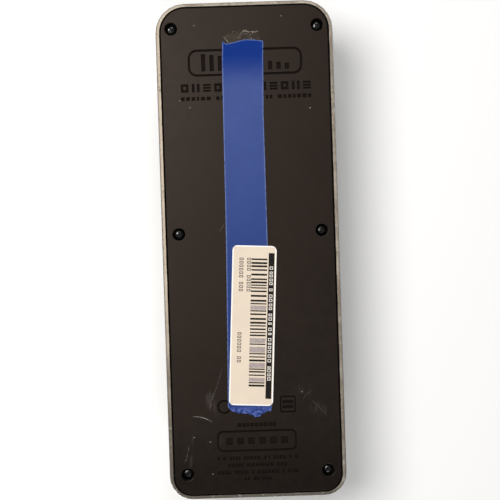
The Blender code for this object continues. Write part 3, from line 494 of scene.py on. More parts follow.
def around(tree, x, y, turn):
    """Coordinates from a place on the sole, turned about Z."""
    moved = node(tree, "VectorMath", {"operation": "SUBTRACT"})
    link(tree, moved.inputs[0], coords(tree))
    moved.inputs[1].default_value = (x, y, 0)
    rotated = node(tree, "VectorRotate", {"rotation_type": "Z_AXIS"}, Angle=turn)
    tree.links.new(moved.outputs[0], rotated.inputs["Vector"])
    return rotated.outputs[0]


def spot(tree, x, y, reach_x, reach_y, turn=0.0):
    """1 at a place on the sole, falling to 0 at its reach."""
    stretched = node(tree, "VectorMath", {"operation": "MULTIPLY"})
    tree.links.new(around(tree, x, y, turn), stretched.inputs[0])
    stretched.inputs[1].default_value = (1 / reach_x, 1 / reach_y, 0)
    length = node(tree, "VectorMath", {"operation": "LENGTH"})
    tree.links.new(stretched.outputs[0], length.inputs[0])
    return spread(length.outputs["Value"], 0.0, 1.0, 1.0, 0.0)


def scratch(tree, x, y, length, width, bow, turn):
    """A thin bowed line on the sole, which fades towards its ends."""
    along, across, _ = axis(tree, around(tree, x, y, turn))
    rise = times(times(along, along), bow)
    away = maths("ABSOLUTE", maths("SUBTRACT", across, rise))
    line = spread(away, 0.0, width, 1.0, 0.0)
    ends = spread(maths("ABSOLUTE", along), length * 0.25, length * 0.5, 1.0, 0.0)
    return times(line, ends)


def largest(values):
    result = values[0]
    for value in values[1:]:
        result = maths("MAXIMUM", result, value)
    return result


def sole_rubber():
    made, tree, shader = material_of(
        "sole_rubber_worn", 0.4, Specular_IOR_Level=0.19, Specular_Tint=(1.0, 0.80, 0.68)
    )
    # Brown-black; painted shade darkens the heel end and thins its flecks, and the heel is smoother
    broad = spread(grain(tree, 14, 2), 0.3, 0.7)
    colour = mix(broad, (0.0070, 0.0046, 0.0034), (0.0092, 0.0064, 0.0049))
    _, along, height = axis(tree)
    # Mask of the painted shade at the heel end
    heel = spread(along, -135 * MM, -90 * MM, 1.0, 0.0)
    colour = mix(times(heel, 0.75), colour, (0.0024, 0.0015, 0.0011))
    fine = grain(tree, 1500, 4, 0.65)
    fleck = spread(fine, 0.3, 0.7, 0.0, 0.3)
    fleck = times(fleck, spread(heel, 0.0, 1.0, 1.0, 0.3))
    colour = mix(fleck, colour, (0.015, 0.011, 0.0088))

    # Dusty smudges in streaks
    streaks = grain(tree, 60, 5, 0.7, coords(tree, (3.2, 0.7, 1), turn=0.5), 0.6)
    smudges = []
    for x, y, reach_x, reach_y, turn in SMUDGES:
        smudges.append(spot(tree, x * MM, y * MM, reach_x * MM, reach_y * MM, turn))
    haze = times(largest(smudges), spread(streaks, 0.5, 0.78))
    colour = mix(times(haze, 0.36), colour, (0.16, 0.14, 0.125))

    # Broken scratches
    lines = []
    for x, y, length, width, bow, turn, strength in SCRATCHES:
        turn = math.radians(turn)
        line = scratch(tree, x * MM, y * MM, length * MM, width * MM, bow, turn)
        lines.append(times(line, strength))
    broken = spread(grain(tree, 900, 2), 0.3, 0.55)
    colour = mix(times(largest(lines), broken), colour, (0.40, 0.37, 0.34))

    # Dots of dust here and there, and the larger specks
    cells = node(tree, "TexVoronoi", Vector=coords(tree), Scale=95.0, Randomness=1.0)
    dots = spread(cells.outputs["Distance"], 0.02, 0.035, 1.0, 0.0)
    some = spread(grain(tree, 34, 2), 0.56, 0.6)
    colour = mix(times(dots, some), colour, (0.34, 0.32, 0.29))
    specks = [spot(tree, x * MM, y * MM, 0.5 * MM, 0.4 * MM) for x, y in SPECKS]
    colour = mix(times(largest(specks), 0.8), colour, (0.42, 0.39, 0.35))

    # Painted shade in the sunk marks, which are matt as well
    sunk = spread(height, 0.15 * MM, 0.6 * MM)
    colour = mix(sunk, colour, (0.0034, 0.0024, 0.0018))
    gloss = spread(grain(tree, 160, 4), 0.3, 0.7, 0.375, 0.43)
    gloss = maths("SUBTRACT", gloss, times(heel, 0.06))
    rough = plus(gloss, times(sunk, 0.45))
    wire(tree, shader, colour, rough, bump(fine, 0.012 * MM))
    return made


def tread_rubber():
    """Black rubber with dust on the crowns of its ribs."""
    made, tree, shader = material_of("tread_rubber_black", 0.55, Specular_IOR_Level=0.45)
    broad = spread(grain(tree, 45, 4), 0.35, 0.65)
    colour = mix(broad, (0.013, 0.013, 0.013), (0.021, 0.020, 0.019))
    _, _, height = axis(tree)
    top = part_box("tread_pad")[1].z
    crown = spread(height, top - 0.5 * MM, top)
    dust = spread(grain(tree, 420, 4, 0.7), 0.42, 0.7)
    worn = times(crown, dust)
    colour = mix(times(worn, 0.4), colour, (0.065, 0.062, 0.058))
    rough = spread(dust, 0.0, 1.0, 0.5, 0.68)
    wire(tree, shader, colour, rough, bump(grain(tree, 1300, 3, 0.6), 0.03 * MM))
    return made


def beyond_sole(tree):
    """How far a place lies outside the sole's outline, in metres."""
    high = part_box("rubber_sole")[1]
    across, along, _ = axis(tree)
    round_toe, round_heel = SOLE_ROUND
    radius = spread(along, -10 * MM, 10 * MM, round_heel, round_toe)
    squares = []
    for place, edge in ((across, high.x), (along, high.y)):
        reach = maths("SUBTRACT", maths("ABSOLUTE", place), edge)
        past = maths("MAXIMUM", plus(reach, radius), 0.0)
        squares.append(times(past, past))
    return maths("SUBTRACT", maths("SQRT", plus(*squares)), radius)


def worn_rim(tree, colour, rough, relief):
    """The housing's lower rim: worn to the metal in patches, with a painted highlight on the +X
    side and painted shade on the rounded edge; darker towards the heel; painted shade in the gap
    next to the sole.
    """
    across, along, height = axis(tree)
    patches = spread(grain(tree, 95, 6, 0.7), 0.4, 0.62)
    bare_and_painted_light = mix(patches, (0.30, 0.25, 0.19), (0.47, 0.415, 0.335))
    # Painted highlight: the worn metal is lighter towards the +X side
    plus_x_highlight = spread(across, 30 * MM, 47 * MM, 0.0, 0.6)
    bare_and_painted_light = mix(plus_x_highlight, bare_and_painted_light, (0.74, 0.62, 0.48))
    # Painted shade: the worn metal above the rim's flat face, on its rounded edge, is darker
    foot = spread(height, 1.0 * MM, 2.3 * MM)
    bare_and_painted_light = mix(foot, bare_and_painted_light, (0.17, 0.145, 0.115))

    # Darker towards the heel, more so on the +X side and at the heel end
    drift = times(grain(tree, 24, 4, 0.65), 90 * MM)
    heelward = spread(plus(along, drift), -65 * MM, 35 * MM, 1.0, 0.0)
    side = spread(across, -46 * MM, 40 * MM, 0.5, 1.0)
    heel_end = spread(along, -139 * MM, -132 * MM, 1.0, 0.0)
    heelward_darkening = times(heelward, maths("MAXIMUM", side, heel_end))
    bare_and_painted_light = mix(times(heelward_darkening, 0.9), bare_and_painted_light, (0.075, 0.062, 0.048))
    nicks = spread(grain(tree, 420, 4, 0.75), 0.56, 0.66)
    bare_and_painted_light = mix(times(nicks, 0.7), bare_and_painted_light, (0.085, 0.07, 0.055))
    low = spread(height, 1.5 * MM, 5.5 * MM, 1.0, 0.0)
    share = times(low, spread(grain(tree, 210, 4), 0.2, 0.42))
    colour = mix(share, colour, bare_and_painted_light)

    # Painted shade in the gap round the sole: near-black on the rim close to the sole's outline, up
    # to 5 to 7 mm high
    wander = times(grain(tree, 160, 4), 0.5 * MM)
    away = plus(beyond_sole(tree), wander)
    gap_shade = spread(away, 0.80 * MM, 0.95 * MM, 1.0, 0.0)
    gap_shade = times(gap_shade, spread(height, 5 * MM, 7 * MM, 1.0, 0.0))
    colour = mix(gap_shade, colour, (0.007, 0.0055, 0.0045))
    relief = bump(nicks, -0.06 * MM, 0.6, relief)
    return colour, plus(rough, times(share, 0.12)), relief


def enamel(name, rim=False):
    """Silver-grey enamel on a casting, with metal flake, scuffs and chips."""
    made, tree, shader = material_of(name, 0.42, Specular_IOR_Level=0.5)
    broad = spread(grain(tree, 30, 3), 0.35, 0.65)
    colour = mix(broad, (0.37, 0.355, 0.33), (0.42, 0.405, 0.38))
    flake = spread(grain(tree, 2600, 2, 0.5), 0.45, 0.75, 0.0, 0.5)
    colour = mix(flake, colour, (0.52, 0.505, 0.48))
    scuffs = grain(tree, 55, 5, 0.75, coords(tree, (0.35, 1, 2.6), turn=0.2), 0.4)
    scuffs = times(spread(scuffs, 0.60, 0.72), 0.35)
    colour = mix(scuffs, colour, (0.24, 0.225, 0.20))
    chips = spread(grain(tree, 190, 5, 0.8), 0.735, 0.75)
    colour = mix(chips, colour, (0.56, 0.55, 0.53))
    rough = spread(grain(tree, 90, 4), 0.3, 0.7, 0.36, 0.48)
    relief = bump(grain(tree, 520, 2, 0.5), 0.05 * MM)
    if rim:
        colour, rough, relief = worn_rim(tree, colour, rough, relief)
    wire(tree, shader, colour, rough, relief)
    return made


def tape_crepe():
    """Blue crepe paper, deeper blue and matt at the toe end and darkened by painted shade towards
    the heel; paler at its edges, with ragged fibres at the torn toe end and a painted highlight
    along its sides.
    """
    made, tree, shader = material_of("tape_crepe_blue", 0.6, Specular_IOR_Level=0.22)
    _, along, _ = axis(tree)
    broad = spread(grain(tree, 40, 4, 0.6), 0.3, 0.7)
    colour = mix(broad, (0.028, 0.055, 0.215), (0.036, 0.066, 0.242))
    fibres = grain(tree, 700, 4, 0.7, coords(tree, (0.35, 2.2, 1)))
    colour = mix(spread(fibres, 0.35, 0.7, 0.0, 0.3), colour, (0.050, 0.098, 0.31))
    # Painted shade: darker towards the heel
    heelward_shade = spread(along, -60 * MM, 90 * MM, 1.0, 0.0)
    colour = mix(heelward_shade, colour, (0.004, 0.028, 0.165))
    # Deeper blue and rougher towards the toe end
    toe_end_deep = spread(along, 90 * MM, 112 * MM)
    colour = mix(toe_end_deep, colour, (0.0005, 0.024, 0.19))
    # Paler at the edges: ragged fibres at the torn toe end and a painted highlight along the sides
    edge = node(tree, "Attribute", {"attribute_name": "edge"}).outputs["Fac"]
    frayed_and_highlit = times(edge, spread(grain(tree, 500, 3), 0.3, 0.55, 0.25, 1.0))
    colour = mix(times(frayed_and_highlit, 0.6), colour, (0.24, 0.32, 0.58))
    torn = spread(along, TAPE_END + 1 * MM, TAPE_END + 5 * MM, 1.0, 0.0)
    ragged = spread(grain(tree, 420, 4, 0.75), 0.42, 0.6)
    colour = mix(times(torn, ragged), colour, (0.085, 0.125, 0.38))
    gloss = spread(fibres, 0.3, 0.7, 0.5, 0.64)
    rough = plus(gloss, times(toe_end_deep, 0.3))
    crepe = grain(tree, 1200, 2, 0.5, coords(tree, (0.25, 1.6, 1)))
    relief = bump(grain(tree, 150, 3), 0.05 * MM)
    creases = grain(tree, 260, 3, 0.6, coords(tree, (1, 1.8, 1), turn=0.6), 0.8)
    relief = bump(times(torn, creases), 1.1 * MM, 1.0, relief)
    wire(tree, shader, colour, rough, bump(crepe, 0.04 * MM, 1.0, relief))
    return made


def label_paper():
    """Cream paper with a white margin all round."""
    made, tree, shader = material_of("label_paper_cream", 0.75, Specular_IOR_Level=0.25)
    across, along, _ = axis(tree)
    starts, full = LABEL_MARGIN
    sides = []
    for place, size in zip((across, along), LABEL_SIZE):
        away = maths("ABSOLUTE", place)
        sides.append(spread(away, size / 2 - starts, size / 2 - full))
    broad = spread(grain(tree, 45, 3), 0.3, 0.7)
    colour = mix(broad, (0.72, 0.61, 0.49), (0.76, 0.65, 0.52))
    fibre = grain(tree, 1600, 4, 0.7)
    colour = mix(spread(fibre, 0.4, 0.75, 0.0, 0.35), colour, (0.67, 0.56, 0.44))
    colour = mix(largest(sides), colour, (0.95, 0.93, 0.90))
    rough = spread(fibre, 0.3, 0.7, 0.7, 0.82)
    wire(tree, shader, colour, rough, bump(fibre, 0.015 * MM))
    return made


def glue():
    """Dried glue, part clear, from brown to cream."""
    made, tree, shader = material_of(
        "dried_glue", 0.22, Specular_IOR_Level=0.6, Transmission_Weight=0.35
    )
    tone = spread(grain(tree, 300, 3), 0.35, 0.65)
    colour = mix(tone, (0.09, 0.072, 0.05), (0.42, 0.37, 0.28))
    rough = spread(tone, 0.0, 1.0, 0.18, 0.4)
    wire(tree, shader, colour, rough, bump(grain(tree, 900, 3), 0.06 * MM))
    return made


paint = enamel("casting_enamel")
paint_worn = enamel("casting_enamel_worn", rim=True)
rubber = sole_rubber()
tread = tread_rubber()
black_oxide = plain(
    "black_oxide", (0.008, 0.008, 0.009), (0.016, 0.015, 0.015), 0.3, 0.85, 400, 2400,
    Coat_Weight=0.7, Coat_Roughness=0.12,
)
# Painted shade: the screws' cross recesses are near-black
recess = plain("recess_painted_shade", (0.003, 0.003, 0.003), (0.009, 0.008, 0.007), 0.85, 0.0, 600, 2400)
zinc = plain("zinc_plate", (0.50, 0.50, 0.49), (0.62, 0.61, 0.58), 0.34, 1.0, 260, 1700)
nickel = plain("nickel_plate", (0.56, 0.54, 0.50), (0.66, 0.64, 0.60), 0.22, 1.0, 300, 1500)
brass = plain("brass_turned", (0.60, 0.43, 0.19), (0.72, 0.54, 0.27), 0.28, 1.0, 300, 1900)
plastic = plain(
    "black_moulding", (0.014, 0.014, 0.015), (0.022, 0.022, 0.024), 0.42, 0.0, 200, 1400
)
nylon = plain("white_nylon", (0.66, 0.65, 0.60), (0.75, 0.74, 0.69), 0.45, 0.0, 150, 1500)
fibre_disc = plain("fibre_washer", (0.24, 0.06, 0.035), (0.34, 0.10, 0.06), 0.7, 0.0, 500, 2200)
board = plain("board_green", (0.010, 0.10, 0.045), (0.016, 0.15, 0.065), 0.35, 0.0, 260, 1300)
lead_white = plain("lead_white", (0.66, 0.66, 0.63), (0.74, 0.74, 0.71), 0.42, 0.0, 200, 1500)
lead_red = plain("lead_red", (0.42, 0.02, 0.02), (0.52, 0.03, 0.028), 0.42, 0.0, 200, 1500)
lead_black = plain("lead_black", (0.013, 0.013, 0.013), (0.02, 0.02, 0.02), 0.42, 0.0, 200, 1500)
tape_blue = tape_crepe()
paper = label_paper()
ink = plain(
    "print_black", (0.004, 0.003, 0.003), (0.010, 0.0085, 0.008), 0.6, 0.0, 500, 2500,
    Specular_IOR_Level=0.15,
)
ink_grey = plain("print_grey", (0.33, 0.27, 0.26), (0.40, 0.34, 0.32), 0.55, 0.0, 700, 2500)
ink_pale = plain("print_pale", (0.66, 0.60, 0.54), (0.78, 0.72, 0.65), 0.55, 0.0, 700, 2500)
ink_thin = plain("print_thin", (0.02, 0.016, 0.015), (0.05, 0.04, 0.037), 0.6, 0.0, 700, 2500)
dried_glue = glue()
glue_film = plain(
    "glue_film", (0.009, 0.0066, 0.005), (0.022, 0.0165, 0.0125), 0.34, 0.0, 420, 1300,
    Specular_IOR_Level=0.25, Specular_Tint=(1.0, 0.84, 0.7),
)

# The material of each CAD node, by its name or by what its name starts with
FINISHES = {
    "housing": paint_worn,
    "treadle": paint,
    "drive_sector": paint,
    "base_plate": zinc,
    "circuit_board": board,
    "wire_header": nylon,
    "potentiometer": zinc,
    "pot_nut": nickel,
    "pot_bracket": zinc,
    "pot_wire_1": lead_white,
    "pot_wire_2": lead_red,
    "pot_wire_3": lead_black,
    "axle": zinc,
    "drive_band": nickel,
    "band_turn": nickel,
    "drive_pulley": brass,
    "pot_shaft": nickel,
    "pulley_screw": zinc,
}
PREFIXES = (
    ("base_screw", black_oxide),
    ("sector_screw", black_oxide),
    ("bracket_screw", zinc),
    ("band_", zinc),
    ("axle_screw", zinc),
    ("axle_bush", nylon),
    ("friction_washer", fibre_disc),
    ("spring_washer", nickel),
    ("bumper", tread),
    ("rubber_sole", rubber),
    ("tread_pad", tread),
)


def finish_of(name):
    if name in FINISHES:
        return FINISHES[name]
    if name.endswith("_jack"):
        return plastic
    if "_jack_" in name:
        return nickel
    for start, material in PREFIXES:
        if name.startswith(start):
            return material
    raise ValueError(name)


def dress_nodes():
    for name, obj in nodes.items():
        for place in obj.material_slots:
            place.material = finish_of(name)
    for name in ("housing", "treadle"):
        even_normals(nodes[name])


# Sole


def screw_places():
    """(x, y, name) of the six screws under the sole, from the frame."""
    for name in sorted(nodes):
        if name.startswith("base_screw"):
            low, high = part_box(name)
            yield (low.x + high.x) / 2, (low.y + high.y) / 2, name


def add_row(bm, y, count, pitch, width, height):
    for i in range(count):
        x = (i - (count - 1) / 2) * pitch
        add_block(bm, x, y, width, height)


def add_words(bm, y, width, height, count, seed, gap=0.75 * MM):
    """A line of blocks of uneven width, with a wider gap here and there; it says nothing."""
    chance = random.Random(seed)
    parts = []
    for _ in range(count):
        parts.append((chance.uniform(0.7, 1.5), chance.random() < 0.22))
    spare = width - gap * (count - 1 + 2 * sum(wide for _, wide in parts[:-1]))
    scale = spare / sum(share for share, _ in parts)
    x = width / 2
    for share, wide in parts:
        block = share * scale
        add_block(bm, x - block / 2, y, block, height, 0.08 * MM)
        x -= block + gap * (3 if wide else 1)


def add_signs(bm, y, count, pitch, width, height):
    """A row of plain signs: a box, two posts or three bars, in turn."""
    for i in range(count):
        x = ((count - 1) / 2 - i) * pitch
        if i % 3 == 0:
            outer = box_corners(x, y, width, height)
            thin_x = 1 - 2 * SIGN_LINE / width
            thin_y = 1 - 2 * SIGN_LINE / height
            add_groove(bm, outer, [(x + (a - x) * thin_x, y + (b - y) * thin_y) for a, b in outer])
        elif i % 3 == 1:
            for side in (-1, 1):
                post = x + side * (width - SIGN_LINE) / 2
                add_block(bm, post, y, SIGN_LINE, height, FINE_FLARE)
        else:
            for step in (-1, 0, 1):
                bar = y + step * (height - SIGN_LINE) / 2
                add_block(bm, x, bar, width, SIGN_LINE * 0.75, FINE_FLARE)


def add_frame(bm, shape, line):
    centre_x, centre_y, width, height, radius = shape
    inside = (centre_x, centre_y, width - 2 * line, height - 2 * line, radius - line)
    add_groove(bm, frame_outline(*shape), frame_outline(*inside))


def sole_marks():
    """Plain frames, bars, signs and blocks sunk in the sole, from the toe to the heel."""
    bm = bmesh.new()
    add_frame(bm, TOE_FRAME, 1.3 * MM)
    add_frame(bm, HEEL_FRAME, 1.1 * MM)
    add_frame(bm, SIDE_FRAME, 0.8 * MM)
    for i in range(11):
        height = (3.2 + 0.62 * i) * MM
        x = (i - 5) * 4.7 * MM
        add_block(bm, x, TOE_FRAME[1] - 4.6 * MM + height / 2, 2.1 * MM, height)
    add_signs(bm, 91.9 * MM, 12, 6.25 * MM, 4.2 * MM, 4.6 * MM)
    add_words(bm, 85.9 * MM, 73 * MM, 1.9 * MM, 22, 5, 1.1 * MM)
    rings = [circle(*RING_AT, radius, 32) for radius in (RING_RADIUS, RING_RADIUS - 1.1 * MM)]
    add_groove(bm, *rings)
    for rise in (1.3 * MM, -1.5 * MM):
        add_block(bm, SIDE_FRAME[0], SIDE_FRAME[1] + rise, 5.6 * MM, 1.4 * MM)
    add_words(bm, -98.4 * MM, 21.5 * MM, 1.9 * MM, 9, 6)
    add_row(bm, HEEL_FRAME[1], 6, 6.2 * MM, 3.4 * MM, 3.4 * MM)
    add_words(bm, -117.0 * MM, 45 * MM, 1.7 * MM, 19, 7)
    add_words(bm, -121.0 * MM, 33 * MM, 1.5 * MM, 14, 8)
    add_words(bm, -125.0 * MM, 45 * MM, 1.7 * MM, 19, 9)
    add_words(bm, -128.8 * MM, 15 * MM, 1.4 * MM, 7, 10)
    return bm


def add_well(bm, x, y, high):
    """What cuts one screw's well, with a rounded mouth, through the sole."""
    mouth = WELL_RADIUS + 0.45 * MM
    rings = []
    for radius, z in (
        (mouth, TOOL_LOW),
        (mouth, 0),
        (WELL_RADIUS + 0.12 * MM, 0.16 * MM),
        (WELL_RADIUS, 0.5 * MM),
        (WELL_RADIUS, high),
    ):
        rings.append(add_ring(bm, circle(x, y, radius, ROUND_STEPS), z))
    close_rings(bm, rings)


def make_sole():
    low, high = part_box("rubber_sole")
    toe, heel = (radius - SOLE_GAP for radius in SOLE_ROUND)
    ends = (low.y + SOLE_GAP, high.y - SOLE_GAP)
    bm = bmesh.new()
    add_prism(bm, rounded_outline(high.x - SOLE_GAP, *ends, heel, toe, 14), low.z, high.z)
    sole = add_object("sole", bm, rubber)
    bevel(sole, 0.4 * MM, 3)
    wells = bmesh.new()
    for x, y, _ in screw_places():
        add_well(wells, x, y, high.z + MM)
    cut(sole, add_object("well_tool", wells))
    cut(sole, add_object("mark_tool", sole_marks()))
    even_normals(sole)
    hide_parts("rubber_sole")
    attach(sole, BASE)


# Screws


def slot_tool(where, direction, radius, depth, turn):
    """One arm of the tapered cross that a driver fits."""
    bm = bmesh.new()
    low = box_corners(0, 0, radius, 0.4 * radius)
    high = [(2.1 * x, 1.4 * y) for x, y in low]
    add_drafted(bm, low, high, -depth, 0.6 * MM)
    bmesh.ops.transform(bm, matrix=placing(where, direction, turn), verts=bm.verts)
    # The faces this tool cuts take the painted shade material
    return add_object("slot_tool", bm, recess)


def pan_screw(name, where, direction, radius, shape, shank, material, turn, flange=0.0):
    """A pan-head screw with a cross recess, and with a flange under its head if one is given.

    Where is the middle of the head's bearing face; shape is its height and the shank's radius.
    """
    height, shank_radius = shape
    direction = Vector(direction)
    profile = [(0, height)]
    for i in range(1, 8):
        angle = math.radians(12.5 * i)
        profile.append((radius * math.sin(angle) ** 0.8, height * (0.42 + 0.58 * math.cos(angle))))
    profile.append((radius, height * 0.38))
    if flange:
        profile += [(radius, 0.5 * MM), (flange - 0.15 * MM, 0.4 * MM), (flange, 0.3 * MM)]
    else:
        flange = radius
    profile += [
        (flange, 0.12 * MM),
        (flange - 0.15 * MM, 0),
        (shank_radius, 0),
        (shank_radius, -shank),
        (0, -shank),
    ]
    screw = turned(name, profile, where, direction, material)
    crown = Vector(where) + height * direction
    for quarter in (0, math.pi / 2):
        cut(screw, slot_tool(crown, direction, radius * 0.6, height * 0.6, turn + quarter))
    return screw


def make_screws():
    chance = random.Random(7)
    for x, y, node_name in screw_places():
        low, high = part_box(node_name)
        bearing = low.z + SOLE_SCREW[0]
        screw = pan_screw(
            node_name.replace("base_screw", "sole_screw"),
            (x, y, bearing),
            (0, 0, -1),
            (high.x - low.x) / 2,
            SOLE_SCREW,
            high.z - bearing,
            black_oxide,
            chance.uniform(0, math.pi / 2),
            WELL_RADIUS - 0.12 * MM,
        )
        even_normals(screw)
        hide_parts(node_name)
        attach(screw, BASE)
    for side, label in ((1, "right"), (-1, "left")):
        node_name = f"axle_screw_{label}"
        low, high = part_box(node_name)
        outer = high.x if side > 0 else low.x
        screw = pan_screw(
            f"cheek_screw_{label}",
            (outer - side * CHEEK_SCREW[0], 0, (low.z + high.z) / 2),
            (side, 0, 0),
            (high.z - low.z) / 2,
            CHEEK_SCREW,
            high.x - low.x - CHEEK_SCREW[0],
            zinc,
            chance.uniform(0, math.pi / 2),
        )
        even_normals(screw)
        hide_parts(node_name)
        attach(screw, BASE)


# Tape, glue and label


def follow(points, share):
    """Reads a value off (share, value) points, joined by straight lines."""
    for (before, low), (after, high) in zip(points, points[1:]):
        if share <= after:
            return low + (high - low) * (share - before) / (after - before)
    return points[-1][1]


def wobble(height, x, y, z=0.0):
    """Smooth noise between about -height and height."""
    return height * noise.noise(Vector((x, y, z)))


def tape_place(u, v):
    """A point of the tape, u across and v down it, and how near it is to an edge, from 0 to 1."""
    top = TAPE_TOP + follow(TAPE_TOP_LINE, u) * MM
    top += wobble(0.14 * MM, u * 30, 1.0)
    bottom = TAPE_END + follow(TAPE_END_LINE, u) * MM
    bottom += wobble(0.7 * MM, u * 19, 9.0)
    bottom += wobble(0.3 * MM, u * 47, 4.0)
    y = top + (bottom - top) * v
    start = follow(TAPE_PLUS_X, v) * MM
    x = start + (follow(TAPE_MINUS_X, v) * MM - start) * u
    x += wobble(0.08 * MM, v * 60, 3.0 if u < 0.5 else 6.0)

    # Slack waves, and a curl at the torn ends; the side edges stay down
    lift = TAPE_SLACK * (1 + wobble(1, x * 120, y * 60, 2.0))
    curl = max(0.0, (y - TAPE_TOP) / MM + 3) * 0.02 + max(0.0, -(y - TAPE_END) / MM + 3) * 0.02
    lift += curl * MM * (1 + wobble(1, x * 500, y * 500, 7.0))
    rim = min(u, 1 - u) * TAPE_COLUMNS
    if rim < 1:
        lift *= rim
    return (x, y, -TAPE_GAP - lift), max(1.0 - rim / 1.6, 1.0 - (top - y) / (0.55 * MM), 0.0)


def make_tape():
    """One strip of crepe tape, torn off at both ends, with a little slack in it."""
    bm = bmesh.new()
    edge = bm.verts.layers.float.new("edge")
    grid = []
    for row in range(TAPE_ROWS + 1):
        line = []
        for column in range(TAPE_COLUMNS + 1):
            place, nearness = tape_place(column / TAPE_COLUMNS, row / TAPE_ROWS)
            vert = bm.verts.new(place)
            vert[edge] = nearness
            line.append(vert)
        grid.append(line)
    for upper, lower in zip(grid, grid[1:]):
        for i in range(TAPE_COLUMNS):
            bm.faces.new((upper[i], upper[i + 1], lower[i + 1], lower[i]))
    tape = add_object("tape_strip", bm, tape_blue)
    thick = tape.modifiers.new("Thickness", "SOLIDIFY")
    thick.thickness = TAPE_THICKNESS
    thick.offset = 0
    settle(tape, 50)
    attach(tape, BASE)


def add_string(bm, chance, x, y, heading, length, width, sway):
    """A flattened string of glue that wanders over the sole."""
    steps = max(6, int(length / (0.5 * MM)))
    rings = []
    for i in range(steps + 1):
        heading += chance.gauss(0, sway)
        x += math.cos(heading) * length / steps
        y += math.sin(heading) * length / steps
        swell = 0.25 + math.sin(math.pi * i / steps) ** 0.6
        half = width / 2 * swell * chance.uniform(0.5, 1.4)
        side_x, side_y = -math.sin(heading) * half, math.cos(heading) * half
        tall = 0.05 * MM + half * 0.4
        ring = []
        for out, z in ((1, 0.02 * MM), (0.6, -tall), (-0.6, -tall), (-1, 0.02 * MM)):
            ring.append(bm.verts.new((x + side_x * out, y + side_y * out, z)))
        rings.append(ring)
    close_rings(bm, rings)


def make_strings():
    """Dried strings and flakes of glue, left by a strip that was pulled off."""
    chance = random.Random(21)
    bm = bmesh.new()
    for x, y, heading, length, width, sway in (
        (12.3, 120.6, math.pi + 0.35, 9.5, 0.30, 0.16),
        (4.2, 118.6, math.pi - 0.75, 5.5, 0.34, 0.14),
        (2.6, 121.9, math.pi - 0.35, 6.0, 0.34, 0.2),
        (0.6, 123.1, math.pi - 0.12, 8.2, 0.3, 0.12),
        (-1.4, 122.6, math.pi + 0.6, 4.4, 0.26, 0.2),
    ):
        add_string(bm, chance, x * MM, y * MM, heading, length * MM, width * MM, sway)
    for _ in range(16):
        x = chance.uniform(-7.6, 12.2) * MM
        y = (118.8 + 4.6 * chance.random() ** 1.3) * MM
        heading = math.pi + chance.gauss(0, 0.6)
        length = chance.uniform(0.5, 2.2) * MM
        add_string(bm, chance, x, y, heading, length, chance.uniform(0.1, 0.3) * MM, 0.2)
    for _ in range(5):
        x = chance.gauss(0.3, 0.7) * MM
        y = chance.gauss(123.0, 0.35) * MM
        heading = chance.uniform(0, math.pi)
        add_string(bm, chance, x, y, heading, chance.uniform(0.6, 1.2) * MM, 0.6 * MM, 0.3)
    residue = add_object("glue_residue", bm, dried_glue)
    settle(residue, 80)
    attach(residue, BASE)


def make_film():
    """The thin film of glue that the strings lie in."""
    outline = []
    for i in range(FILM_STEPS):
        angle = 2 * math.pi * i / FILM_STEPS
        across, along = math.cos(angle), math.sin(angle)
        wave = 1 + wobble(0.16, across * 1.4, along * 1.4, 3.0)
        wave += wobble(0.10, across * 5, along * 5, 8.0)
        x = FILM_AT[0] + FILM_REACH[0] * wave * across
        y = FILM_AT[1] + FILM_REACH[1] * wave * along
        outline.append((x, y))
    bm = bmesh.new()
    add_prism(bm, outline, -0.03 * MM, 0.01 * MM)
    film = add_object("glue_film", bm, glue_film)
    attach(film, BASE)


def place_label(obj):
    """Puts something made flat about the label's own middle where the label is."""
    obj.rotation_euler = (0, 0, LABEL_TURN)
    obj.location = LABEL_AT


def flat_bars(name, bars, low, high, material):
    """Printed bars, as (across, along, width, height) from the label's middle."""
    bm = bmesh.new()
    for bar in bars:
        add_prism(bm, box_corners(*bar), low, high)
    obj = add_object(name, bm, material)
    place_label(obj)
    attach(obj, BASE)


def hollow(across, along, width, height, line):
    """The four sides of a small box, as bars."""
    side = (width - line) / 2
    end = (height - line) / 2
    return [
        (across - side, along, line, height),
        (across + side, along, line, height),
        (across, along - end, width - 2 * line, line),
        (across, along + end, width - 2 * line, line),
    ]


